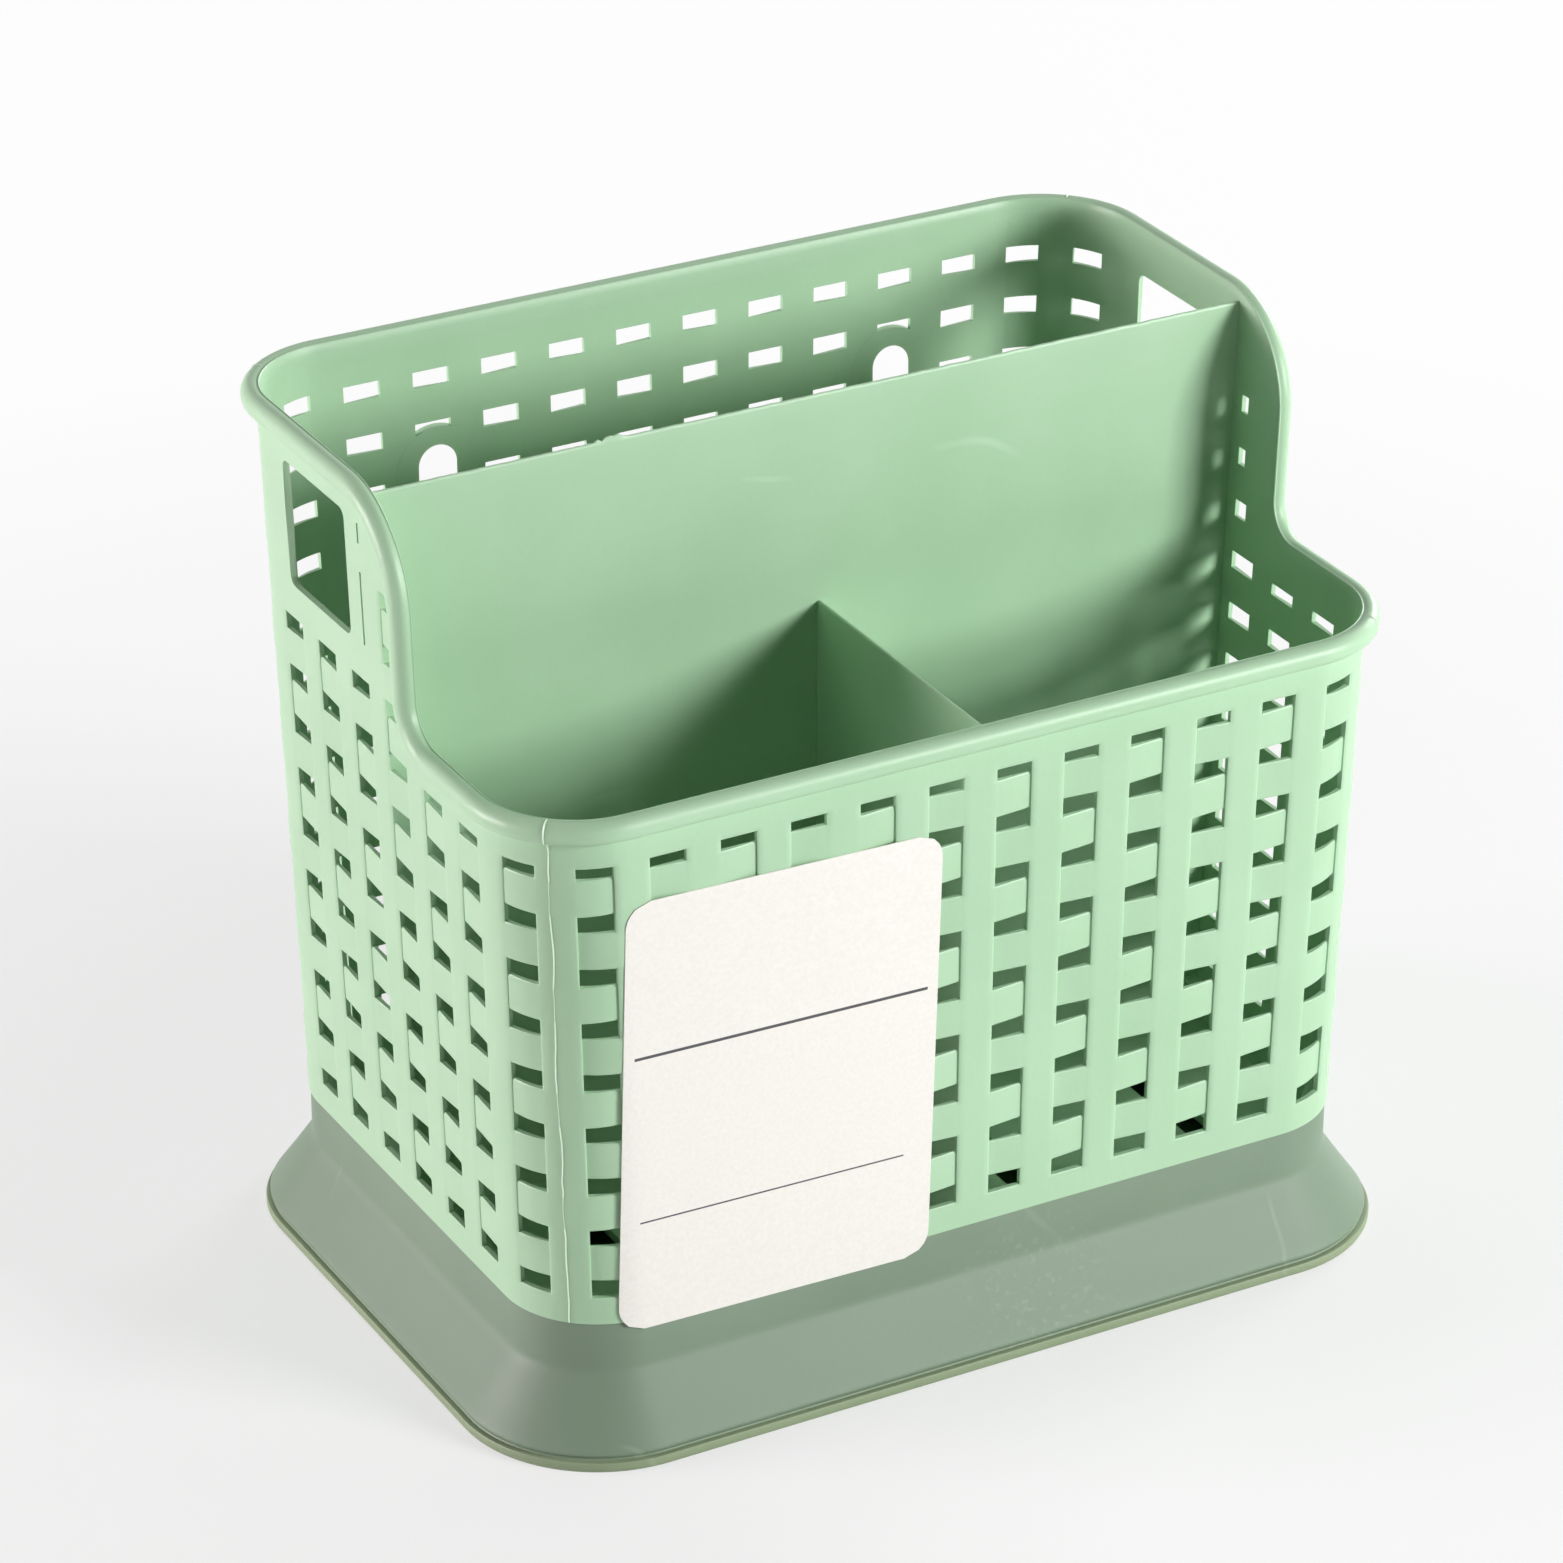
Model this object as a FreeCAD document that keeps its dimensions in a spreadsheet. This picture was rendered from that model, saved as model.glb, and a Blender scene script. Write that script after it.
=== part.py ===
import FreeCAD, Part
import math
import os

import Sketcher

# Chopstick holder: a woven-look plastic basket that lifts out of a flared drip tray.
# X runs along the length, -Y is the low front, +Z is up, and the origin is under the
# middle of the foot. All lengths are millimetres.

SIZES = {
    # Whole object
    "overall_height": 140.0,
    "foot_length": 155.0,
    "foot_depth": 110.0,
    # Drip tray
    "tray_height": 21.0,
    "tray_wall": 1.6,
    "tray_flare": 7.6,
    "neck_corner": 15.0,
    "flare_height": 12.6,
    "shoulder_height": 4.8,
    "shoulder_inset": 2.2,
    "foot_bead_height": 1.9,
    "foot_bead_ledge": 0.4,
    "foot_bead_width": 2.4,
    "dish_height": 6.6,
    "dish_floor": 1.6,
    "dish_reach": 2.6,
    # Seat of the basket in the tray
    "joint_reveal": 0.3,
    "seat_clearance": 0.3,
    "plug_depth": 5.0,
    # Basket shell
    "basket_wall": 1.4,
    "basket_floor": 1.5,
    "side_lean": 3.8,
    "front_lean": 1.1,
    "front_drop": 35.4,
    "step_setback": 11.0,
    "step_round": 15.0,
    "step_hollow": 7.0,
    "rim_radius": 1.75,
    "rim_offset": 0.5,
    # Compartments
    "divider_thickness": 1.2,
    "divider_drop": 2.2,
    "partition_thickness": 1.2,
    "partition_drop": 0.2,
    # Finger openings in the sides
    "handle_width": 18.8,
    "handle_height": 20.3,
    "handle_centre": 17.0,
    "handle_drop": 7.7,
    "handle_corner": 1.5,
    "handle_margin": 5.0,
    # Hanging holes in the back
    "hanger_spacing": 79.0,
    "hanger_width": 6.4,
    "hanger_length": 10.0,
    "hanger_drop": 20.5,
    "hanger_border": 3.8,
    "hanger_proud": 1.0,
    # Woven lattice
    "strip_width": 5.5,
    "column_pitch": 10.95,
    "row_pitch": 8.66,
    "window_height": 3.1,
    "corner_window": 4.7,
    "corner_shift": 0.7,
    "first_row": 6.0,
    "plain_band": 8.0,
    "least_window": 1.2,
    # Drain slots in the basket floor
    "drain_width": 5.0,
    "drain_length": 26.0,
    "drain_pitch": 32.0,
    "drain_offset": 22.5,
    # Paper label
    "label_width": 51.6,
    "label_corner": 4.0,
    "label_thickness": 0.15,
    "label_shift": 32.8,
    "label_top_gap": 15.1,
    "label_foot_gap": 18.9,
    # One overrun serves every cut
    "overrun": 1.0,
}

# Counts and angles
DRAIN_COLUMNS = 4
RIM_SIDES = 6
LABEL_TURN_DEGREES = 1.2

document = FreeCAD.newDocument("chopstick_holder")
sheet = document.addObject("Spreadsheet::Sheet", "Sizes")
for row, (alias, length) in enumerate(SIZES.items(), start=1):
    sheet.set(f"A{row}", alias)
    sheet.set(f"B{row}", str(length))
    sheet.setAlias(f"B{row}", alias)
document.recompute()


class Size:
    """A length with its value and the sheet expression that gives it."""

    def __init__(self, value, text):
        self.value = value
        self.text = text

    def __add__(self, other):
        return Size(self.value + other.value, f"({self.text} + {other.text})")

    def __sub__(self, other):
        return Size(self.value - other.value, f"({self.text} - {other.text})")

    def __mul__(self, factor):
        return Size(self.value * factor, f"({self.text} * {factor})")

    def __truediv__(self, divisor):
        return Size(self.value / divisor, f"({self.text} / {divisor})")

    def __neg__(self):
        return Size(-self.value, f"(-{self.text})")


def size(alias):
    return Size(float(sheet.get(alias)), f"Sizes.{alias}")


ZERO = Size(0.0, "0")


def origin_plane(body, role):
    return next(plane for plane in body.Origin.OriginFeatures if plane.Role == role)


def new_sketch(body, name, role, offset=None):
    """A sketch on one of the body's own planes, moved along the plane's normal."""
    sketch = body.newObject("Sketcher::SketchObject", name)
    sketch.AttachmentSupport = [(origin_plane(body, role), "")]
    sketch.MapMode = "FlatFace"
    if offset is not None:
        sketch.AttachmentOffset.Base.z = offset.value
        sketch.setExpression("AttachmentOffset.Base.z", offset.text)
    return sketch


def bind_dimension(sketch, kind, references, length):
    index = sketch.addConstraint(Sketcher.Constraint(kind, *references, length.value))
    sketch.renameConstraint(index, f"{kind}{index}")
    sketch.setExpression(f"Constraints.{kind}{index}", length.text)


def place_point(sketch, geometry, position, point):
    """Ties a point to the sketch's axes by two named distances."""
    for kind, length, axis in (("DistanceX", point[0], -2), ("DistanceY", point[1], -1)):
        if length.value == 0:
            sketch.addConstraint(Sketcher.Constraint("PointOnObject", geometry, position, axis))
        elif length.value > 0:
            bind_dimension(sketch, kind, (-1, 1, geometry, position), length)
        else:
            bind_dimension(sketch, kind, (geometry, position, -1, 1), -length)


def arc_between(start, end, radius, turns_left):
    """The arc under half a turn from start to end, turning left or right."""
    middle = (start + end) * 0.5
    chord = end - start
    rise = math.sqrt(radius ** 2 - chord.Length ** 2 / 4)
    left = FreeCAD.Vector(-chord.y, chord.x, 0).normalize()
    centre = middle + left * (rise if turns_left else -rise)
    first, last = (start, end) if turns_left else (end, start)
    first_angle = math.atan2(first.y - centre.y, first.x - centre.x)
    last_angle = math.atan2(last.y - centre.y, last.x - centre.x)
    circle = Part.Circle(centre, FreeCAD.Vector(0, 0, 1), radius)
    return Part.ArcOfCircle(circle, first_angle, last_angle)


def outline(sketch, points, arcs):
    """Closes a loop of lines through the points, with arcs {index: (radius, turns_left)}."""
    vectors = [FreeCAD.Vector(x.value, y.value, 0) for x, y in points]
    segments = []
    for index, start in enumerate(vectors):
        end = vectors[(index + 1) % len(vectors)]
        if index in arcs:
            radius, turns_left = arcs[index]
            geometry = sketch.addGeometry(arc_between(start, end, radius.value, turns_left), False)
            segments.append((geometry, 1, 2) if turns_left else (geometry, 2, 1))
        else:
            geometry = sketch.addGeometry(Part.LineSegment(start, end), False)
            segments.append((geometry, 1, 2))
    for index, (geometry, first, last) in enumerate(segments):
        following, following_first, unused = segments[(index + 1) % len(segments)]
        sketch.addConstraint(Sketcher.Constraint("Coincident", geometry, last, following, following_first))
    for (geometry, first, last), point in zip(segments, points):
        place_point(sketch, geometry, first, point)
    for index, (radius, turns_left) in arcs.items():
        bind_dimension(sketch, "Radius", (segments[index][0],), radius)


def rounded_rectangle(sketch, half_width, half_height, corner, centre=(ZERO, ZERO)):
    across, up = centre
    points = [
        (across - half_width + corner, up - half_height),
        (across + half_width - corner, up - half_height),
        (across + half_width, up - half_height + corner),
        (across + half_width, up + half_height - corner),
        (across + half_width - corner, up + half_height),
        (across - half_width + corner, up + half_height),
        (across - half_width, up + half_height - corner),
        (across - half_width, up - half_height + corner),
    ]
    outline(sketch, points, {index: (corner, True) for index in (1, 3, 5, 7)})


def tapered_block(body, kind, name, bottom, top):
    """A four-sided block between two levels, each given as (height, half length, half depth)."""
    feature = body.newObject(f"PartDesign::{kind}", name)
    feature.AttachmentSupport = [(origin_plane(body, "XZ_Plane"), "")]
    feature.MapMode = "FlatFace"
    for end, low, high, level in (("Min", "Xmin", "Xmax", bottom), ("Max", "X2min", "X2max", top)):
        height, half_length, half_depth = level
        feature.setExpression(f"Y{end.lower()}", height.text)
        feature.setExpression(low, (-half_length).text)
        feature.setExpression(high, half_length.text)
        feature.setExpression(low.replace("X", "Z"), (-half_depth).text)
        feature.setExpression(high.replace("X", "Z"), half_depth.text)
    return feature


def round_corners(body, name, feature, level, radius):
    """Fillets the four corner edges that rise from a level."""
    document.recompute()
    names = []
    for number, edge in enumerate(feature.Shape.Edges, start=1):
        box = edge.BoundBox
        rises = box.ZLength > rim_front.value / 2
        if rises and abs(box.ZMin - level.value) < wall.value / 4:
            names.append(f"Edge{number}")
    fillet = body.newObject("PartDesign::Fillet", name)
    fillet.Base = (feature, names)
    fillet.setExpression("Radius", radius.text)
    return fillet


def pad(body, name, sketch, length, symmetric=False, reversed_side=False):
    feature = body.newObject("PartDesign::Pad", name)
    feature.Profile = sketch
    feature.setExpression("Length", length.text)
    if symmetric:
        feature.SideType = "Symmetric"
    feature.Reversed = reversed_side
    return feature


def pocket(body, name, sketch, length, symmetric=False):
    feature = body.newObject("PartDesign::Pocket", name)
    feature.Profile = sketch
    feature.setExpression("Length", length.text)
    if symmetric:
        feature.SideType = "Symmetric"
    return feature


# Derived sizes that several pieces share
overrun = size("overrun")
seat = size("tray_height")
neck_half_length = size("foot_length") / 2 - size("tray_flare")
neck_half_depth = size("foot_depth") / 2 - size("tray_flare")
basket_half_length = neck_half_length + size("joint_reveal")
basket_half_depth = neck_half_depth + size("joint_reveal")
basket_corner = size("neck_corner") + size("joint_reveal")
wall = size("basket_wall")
plug_inset = size("tray_wall") + size("seat_clearance")
plug_half_length = neck_half_length - plug_inset
plug_half_depth = neck_half_depth - plug_inset
plug_corner = size("neck_corner") - plug_inset
floor_under = seat - size("plug_depth")
floor_top = floor_under + size("basket_floor")
ledge_top = seat + wall
rim_top = size("overall_height")
rim_front = rim_top - size("front_drop")


def height_share(height):
    """How far a height lies up the leaning wall, from 0 at the seat to 1 at the rim."""
    return (height.value - seat.value) / (rim_top.value - seat.value)


def wall_level(height, inset):
    """A level of the leaning walls: its height, half length and half depth, set in from the outside."""
    half_length = basket_half_length + size("side_lean") * height_share(height) - inset
    half_depth = basket_half_depth + size("front_lean") * height_share(height) - inset
    return height, half_length, half_depth


def make_tray():
    body = document.addObject("PartDesign::Body", "drip_tray")
    path = new_sketch(body, "neck_path", "XY_Plane")
    rounded_rectangle(path, neck_half_length, neck_half_depth, size("neck_corner"))

    foot_half_length = size("foot_length") / 2
    bead_top = size("foot_bead_height")
    bead_edge = foot_half_length - size("foot_bead_ledge")
    shoulder_out = foot_half_length - size("shoulder_inset")
    tray_wall = size("tray_wall")
    section = new_sketch(body, "skirt_section", "XZ_Plane")
    points = [
        (neck_half_length, seat),
        (neck_half_length - tray_wall, seat),
        (neck_half_length - tray_wall, size("flare_height")),
        (shoulder_out - tray_wall, size("shoulder_height")),
        (foot_half_length - size("foot_bead_width"), ZERO),
        (foot_half_length, ZERO),
        (foot_half_length, bead_top),
        (bead_edge, bead_top),
        (shoulder_out, size("shoulder_height")),
        (neck_half_length, size("flare_height")),
    ]
    outline(section, points, {})
    skirt = body.newObject("PartDesign::AdditivePipe", "skirt")
    skirt.Profile = section
    skirt.Spine = (path, [])

    reach = size("dish_reach")
    dish = new_sketch(body, "dish_outline", "XY_Plane", size("dish_height"))
    rounded_rectangle(dish, neck_half_length + reach, neck_half_depth + reach, size("neck_corner") + reach)
    pad(body, "dish", dish, size("dish_floor"))
    return body


def make_shell():
    """The basket without lattice and rim: leaning walls, plug, floor, divider and partition."""
    body = document.addObject("PartDesign::Body", "basket_shell")
    tapered_block(body, "AdditiveWedge", "block", wall_level(seat, ZERO), wall_level(rim_top, ZERO))

    plug_outline = new_sketch(body, "plug_outline", "XY_Plane", floor_under)
    rounded_rectangle(plug_outline, plug_half_length, plug_half_depth, plug_corner)
    pad(body, "plug", plug_outline, size("plug_depth") + wall / 2)

    hollow = tapered_block(
        body, "SubtractiveWedge", "hollow",
        wall_level(ledge_top, wall), wall_level(rim_top + overrun, wall),
    )
    inside = round_corners(body, "inside_corners", hollow, ledge_top, basket_corner - wall)
    round_corners(body, "outside_corners", inside, seat, basket_corner)

    well_outline = new_sketch(body, "well_outline", "XY_Plane", ledge_top + overrun)
    rounded_rectangle(well_outline, plug_half_length - wall, plug_half_depth - wall, plug_corner - wall)
    pocket(body, "well", well_outline, ledge_top + overrun - floor_top)

    embed = wall / 2
    floor_middle = floor_under + size("basket_floor") / 2
    ledge_middle = seat + wall / 2
    divider_top = rim_top - size("divider_drop")
    divider_end = basket_half_length + size("side_lean") * height_share(divider_top) - embed
    divider_face = new_sketch(body, "divider_face", "XZ_Plane")
    divider_right = [
        (plug_half_length - embed, floor_middle),
        (plug_half_length - embed, ledge_middle),
        (basket_half_length - embed, ledge_middle),
        (divider_end, divider_top),
    ]
    divider_left = [(-across, height) for across, height in reversed(divider_right)]
    outline(divider_face, divider_right + divider_left, {})
    pad(body, "divider", divider_face, size("divider_thickness"), symmetric=True)

    partition_top = rim_front - size("partition_drop")
    partition_end = basket_half_depth + size("front_lean") * height_share(partition_top) - embed
    partition_face = new_sketch(body, "partition_face", "YZ_Plane")
    partition_points = [
        (ZERO, floor_middle),
        (ZERO, partition_top),
        (-partition_end, partition_top),
        (embed - basket_half_depth, ledge_middle),
        (embed - plug_half_depth, ledge_middle),
        (embed - plug_half_depth, floor_middle),
    ]
    outline(partition_face, partition_points, {})
    pad(body, "partition", partition_face, size("partition_thickness"), symmetric=True)

    cut_rim_step(body)
    cut_handles(body)
    add_hangers(body)
    return body


def cut_rim_step(body):
    """Cuts the walls along the middle of the rim: high behind, low in front."""
    low = rim_front - size("rim_radius")
    high = rim_top - size("rim_radius")
    edge = -size("step_setback")
    convex = size("step_round")
    concave = size("step_hollow")
    far = size("foot_depth")
    above = rim_top + overrun
    sketch = new_sketch(body, "rim_line", "YZ_Plane")
    points = [
        (-far, low),
        (edge - concave, low),
        (edge, low + concave),
        (edge, high - convex),
        (edge + convex, high),
        (far, high),
        (far, above),
        (-far, above),
    ]
    outline(sketch, points, {1: (concave, True), 3: (convex, False)})
    pocket(body, "rim_step", sketch, size("foot_length") * 2, symmetric=True)


def cut_handles(body):
    """One finger opening through each side wall, behind the divider."""
    sketch = new_sketch(body, "handle_outline", "YZ_Plane")
    half_height = size("handle_height") / 2
    middle = rim_top - size("handle_drop") - half_height
    centre = (size("handle_centre"), middle)
    rounded_rectangle(sketch, size("handle_width") / 2, half_height, size("handle_corner"), centre)
    pocket(body, "handles", sketch, size("foot_length") * 2, symmetric=True)


def arch(sketch, across, top, bottom, radius):
    """An upright opening with a round top and a straight foot."""
    points = [
        (across - radius, bottom),
        (across + radius, bottom),
        (across + radius, top - radius),
        (across, top),
        (across - radius, top - radius),
    ]
    outline(sketch, points, {2: (radius, True), 3: (radius, True)})


def add_hangers(body):
    """Two thickened hanging holes in the back wall."""
    top = rim_top - size("hanger_drop")
    bottom = top - size("hanger_length")
    radius = size("hanger_width") / 2
    border = size("hanger_border")
    proud = size("hanger_proud")
    back_face = basket_half_depth + size("front_lean") * height_share(top)
    boss_face = new_sketch(body, "hanger_boss", "XZ_Plane", wall / 2 - back_face)
    hole_face = new_sketch(body, "hanger_hole", "XZ_Plane", wall + overrun - back_face)
    for side in (-1, 1):
        across = size("hanger_spacing") * side / 2
        arch(boss_face, across, top + border, bottom - border, radius + border)
        arch(hole_face, across, top, bottom, radius)
    pad(body, "hanger_bosses", boss_face, wall / 2 + proud, reversed_side=True)
    pocket(body, "hanger_holes", hole_face, wall + proud + overrun * 2)


def half_sizes(height):
    """Half length and half depth of the outer wall at a height, as plain numbers."""
    share = height_share(Size(height, ""))
    half_length = basket_half_length.value + size("side_lean").value * share
    half_depth = basket_half_depth.value + size("front_lean").value * share
    return half_length, half_depth


WALL_AXES = {
    "front": (FreeCAD.Vector(1, 0, 0), FreeCAD.Vector(0, -1, 0)),
    "right": (FreeCAD.Vector(0, 1, 0), FreeCAD.Vector(1, 0, 0)),
    "back": (FreeCAD.Vector(-1, 0, 0), FreeCAD.Vector(0, 1, 0)),
    "left": (FreeCAD.Vector(0, -1, 0), FreeCAD.Vector(-1, 0, 0)),
}


def sign(number):
    return math.copysign(1, number)


def wall_frame(side, along, height):
    """The frame on the outer wall at a distance along one side: along, inward, up the wall."""
    half_length, half_depth = half_sizes(height)
    side_lean = size("side_lean").value
    front_lean = size("front_lean").value
    along_axis, out_axis = WALL_AXES[side]
    reach, out = (half_length, half_depth) if side in ("front", "back") else (half_depth, half_length)
    corner = basket_corner.value
    beyond = max(0.0, abs(along) - (reach - corner))
    turn = math.copysign(beyond / corner, along)
    straight = along - turn * corner
    point = along_axis * (straight + corner * math.sin(turn))
    point += out_axis * (out - corner + corner * math.cos(turn))
    tangent = along_axis * math.cos(turn) - out_axis * math.sin(turn)
    up = FreeCAD.Vector(0, 0, rim_top.value - seat.value)
    up.x = side_lean * sign(point.x) if beyond or side in ("left", "right") else 0
    up.y = front_lean * sign(point.y) if beyond or side in ("front", "back") else 0
    up.normalize()
    point.z = height
    return FreeCAD.Placement(point, FreeCAD.Rotation(tangent, up.cross(tangent), up, "ZXY"))


def column_pitch(height):
    half_length, half_depth = half_sizes(height)
    return size("column_pitch").value * half_length / basket_half_length.value


def row_height(row):
    return seat.value + size("first_row").value + row * size("row_pitch").value


def column_count(half_size):
    """As many columns as fit on one wall with half of the corner at each end."""
    corner = basket_corner.value
    run = 2 * (half_size.value - corner) + corner * math.pi / 2
    return math.floor(run / size("column_pitch").value)


def lattice_columns():
    """Each column of windows: its side, its place along the side in pitches, and if it is at a corner."""
    for side in WALL_AXES:
        count = column_count(basket_half_length if side in ("front", "back") else basket_half_depth)
        for column in range(count):
            yield side, column - (count - 1) / 2, column in (0, count - 1)


def rim_height(depth):
    """The top of the rim above a place on the side wall, along its step."""
    setback = -size("step_setback").value
    convex = size("step_round").value
    concave = size("step_hollow").value
    if depth > setback:
        reach = min(0.0, depth - setback - convex)
        return rim_top.value - convex + math.sqrt(convex ** 2 - reach ** 2)
    reach = max(0.0, depth - setback + concave)
    return rim_front.value + concave - math.sqrt(concave ** 2 - reach ** 2)


def window_limit(side, along, width):
    """The height where a column of windows ends: under the rim's plain band or the finger opening."""
    plain_band = size("plain_band").value
    if side == "front":
        return rim_front.value - plain_band
    if side == "back":
        return rim_top.value - plain_band
    depth = along if side == "right" else -along
    beside_handle = abs(depth - size("handle_centre").value) < (size("handle_width").value + width) / 2
    if beside_handle:
        handle_foot = rim_top - size("handle_drop") - size("handle_height")
        return handle_foot.value - size("handle_margin").value
    return rim_height(depth) - plain_band


def covered_by_hanger(side, along, height, width):
    """Windows that would run into the thickened ring of a hanging hole are left out."""
    border = size("hanger_border").value
    ring_top = rim_top.value - size("hanger_drop").value + border
    ring_height = size("hanger_length").value + 2 * border
    ring_width = size("hanger_width").value + 2 * border
    across = abs(abs(along) - size("hanger_spacing").value / 2)
    apart = abs(height - (ring_top - ring_height / 2))
    beside = across >= (ring_width + width) / 2
    clear = apart >= (ring_height + size("window_height").value) / 2
    return side == "back" and not beside and not clear


def make_window_cutters():
    cutters = []
    half_height = size("window_height").value / 2
    depth = wall.value + 2 * overrun.value
    for side, pitches, at_corner in lattice_columns():
        height = row_height(0)
        row = 0
        while height < rim_top.value:
            pitch = column_pitch(height)
            along = pitches * pitch
            width = pitch - size("strip_width").value
            if at_corner:
                along += size("corner_shift").value * sign(along)
                width = size("corner_window").value
            bottom = height - half_height
            tall = min(2 * half_height, window_limit(side, along, width) - bottom)
            if tall > size("least_window").value and not covered_by_hanger(side, along, height, width):
                corner = FreeCAD.Vector(-width / 2, -overrun.value, -half_height)
                cutter = Part.makeBox(width, depth, tall, corner)
                cutter.Placement = wall_frame(side, along, height)
                cutters.append(cutter)
            row += 1
            height = row_height(row)
    return cutters


def make_drain_cutters():
    cutters = []
    width = size("drain_width").value
    length = size("drain_length").value
    depth = size("basket_floor").value + 2 * overrun.value
    bottom = floor_under.value - overrun.value
    for column in range(DRAIN_COLUMNS):
        across = (column - (DRAIN_COLUMNS - 1) / 2) * size("drain_pitch").value
        for side in (-1, 1):
            middle = side * size("drain_offset").value
            corner = FreeCAD.Vector(across - width / 2, middle - length / 2, bottom)
            cutters.append(Part.makeBox(width, length, depth, corner))
    return cutters


def rim_path():
    """Half of the rim's centre line, from the middle of the back to the middle of the front."""
    offset = size("rim_offset").value
    corner = basket_corner.value + offset
    high = rim_top.value - size("rim_radius").value
    low = rim_front.value - size("rim_radius").value
    high_length, high_depth = (half + offset for half in half_sizes(high))
    low_length, low_depth = (half + offset for half in half_sizes(low))
    slope = math.atan2(high_length - low_length, high - low)
    fall = (high - low) / math.cos(slope)
    edge = -size("step_setback").value
    convex = size("step_round").value
    concave = size("step_hollow").value
    diagonal = math.sqrt(0.5)

    def on_side(y, drop):
        return FreeCAD.Vector(high_length - drop * math.sin(slope), y, high - drop * math.cos(slope))

    def corner_point(half_length, half_depth, height, x_share, y_share):
        return FreeCAD.Vector(half_length - corner + corner * x_share, half_depth + corner * y_share, height)

    back = high_depth - corner
    front = corner - low_depth
    stations = [
        FreeCAD.Vector(0, high_depth, high),
        corner_point(high_length, back, high, 0, 1),
        corner_point(high_length, back, high, diagonal, diagonal),
        corner_point(high_length, back, high, 1, 0),
        on_side(edge + convex, 0),
        on_side(edge + convex - convex * diagonal, convex - convex * diagonal),
        on_side(edge, convex),
        on_side(edge, fall - concave),
        on_side(edge - concave + concave * diagonal, fall - concave + concave * diagonal),
        on_side(edge - concave, fall),
        corner_point(low_length, front, low, 1, 0),
        corner_point(low_length, front, low, diagonal, -diagonal),
        corner_point(low_length, front, low, 0, -1),
        FreeCAD.Vector(0, -low_depth, low),
    ]
    edges = []
    for first in range(0, len(stations) - 1, 3):
        edges.append(Part.LineSegment(stations[first], stations[first + 1]).toShape())
        if first + 3 < len(stations):
            edges.append(Part.Arc(*stations[first + 1:first + 4]).toShape())
    return Part.Wire(edges)


def make_rim_half():
    """The bead of the rim, with a few flats round its section."""
    path = rim_path()
    start = path.Vertexes[0].Point
    radius = size("rim_radius").value / math.cos(math.pi / RIM_SIDES)
    section = []
    for side in range(RIM_SIDES + 1):
        angle = side * 2 * math.pi / RIM_SIDES
        section.append(start + FreeCAD.Vector(0, math.cos(angle), math.sin(angle)) * radius)
    return path.makePipeShell([Part.makePolygon(section)], True, False)


def make_basket():
    shell = make_shell()
    right_rim = document.addObject("Part::Feature", "rim_right")
    right_rim.Shape = make_rim_half()
    left_rim = document.addObject("Part::Mirroring", "rim_left")
    left_rim.Source = right_rim
    left_rim.Normal = FreeCAD.Vector(1, 0, 0)
    rimmed = document.addObject("Part::MultiFuse", "rimmed_shell")
    rimmed.Shapes = [shell, right_rim, left_rim]

    openings = document.addObject("Part::Feature", "lattice_openings")
    openings.Shape = Part.makeCompound(make_window_cutters() + make_drain_cutters())
    basket = document.addObject("Part::Cut", "basket")
    basket.Base = rimmed
    basket.Tool = openings
    return basket


def make_label():
    """A paper sticker that lies on the leaning front wall, turned a little."""
    body = document.addObject("PartDesign::Body", "label")
    face = new_sketch(body, "label_outline", "XZ_Plane")
    label_top = rim_front - size("label_top_gap")
    label_foot = size("label_foot_gap")
    rounded_rectangle(face, size("label_width") / 2, (label_top - label_foot) / 2, size("label_corner"))
    pad(body, "sheet", face, size("label_thickness"))
    centre = (label_top + label_foot).value / 2
    half_length, half_depth = half_sizes(centre)
    lean = math.atan2(size("front_lean").value, rim_top.value - seat.value)
    lean_turn = FreeCAD.Rotation(FreeCAD.Vector(1, 0, 0), math.degrees(lean))
    own_turn = FreeCAD.Rotation(FreeCAD.Vector(0, 1, 0), LABEL_TURN_DEGREES)
    place = FreeCAD.Vector(-size("label_shift").value, -half_depth, centre)
    body.Placement = FreeCAD.Placement(place, lean_turn.multiply(own_turn))
    return body


pieces = {
    "drip_tray": make_tray(),
    "basket": make_basket(),
    "label": make_label(),
}
for name, piece in pieces.items():
    piece.Label = name
document.recompute()

for item in document.Objects:
    if "Invalid" in item.State or "Error" in item.State:
        raise RuntimeError(f"{item.Name} failed: {item.State}")
for name, piece in pieces.items():
    if piece.Shape.isNull() or not piece.Shape.isValid():
        raise RuntimeError(f"{name} has no valid shape")

os.makedirs("parts", exist_ok=True)
for name, piece in pieces.items():
    piece.Shape.exportStep(f"parts/{name}.step")
    print(name, "solids", len(piece.Shape.Solids), "volume", round(piece.Shape.Volume, 1))
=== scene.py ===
import math
import random

import bmesh
import bpy
import numpy as np
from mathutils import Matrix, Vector


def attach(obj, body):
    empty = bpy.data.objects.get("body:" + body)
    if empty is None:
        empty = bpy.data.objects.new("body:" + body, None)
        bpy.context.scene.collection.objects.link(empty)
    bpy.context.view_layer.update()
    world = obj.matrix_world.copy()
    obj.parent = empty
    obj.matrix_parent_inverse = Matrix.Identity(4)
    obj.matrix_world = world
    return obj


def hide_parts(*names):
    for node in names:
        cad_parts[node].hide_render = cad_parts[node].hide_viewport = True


# Chopstick holder: a woven-look plastic basket in a flared drip tray, with a paper label.
# The sizes below are millimetres in the frame of the solids, and meshes are made in metres.

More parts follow.
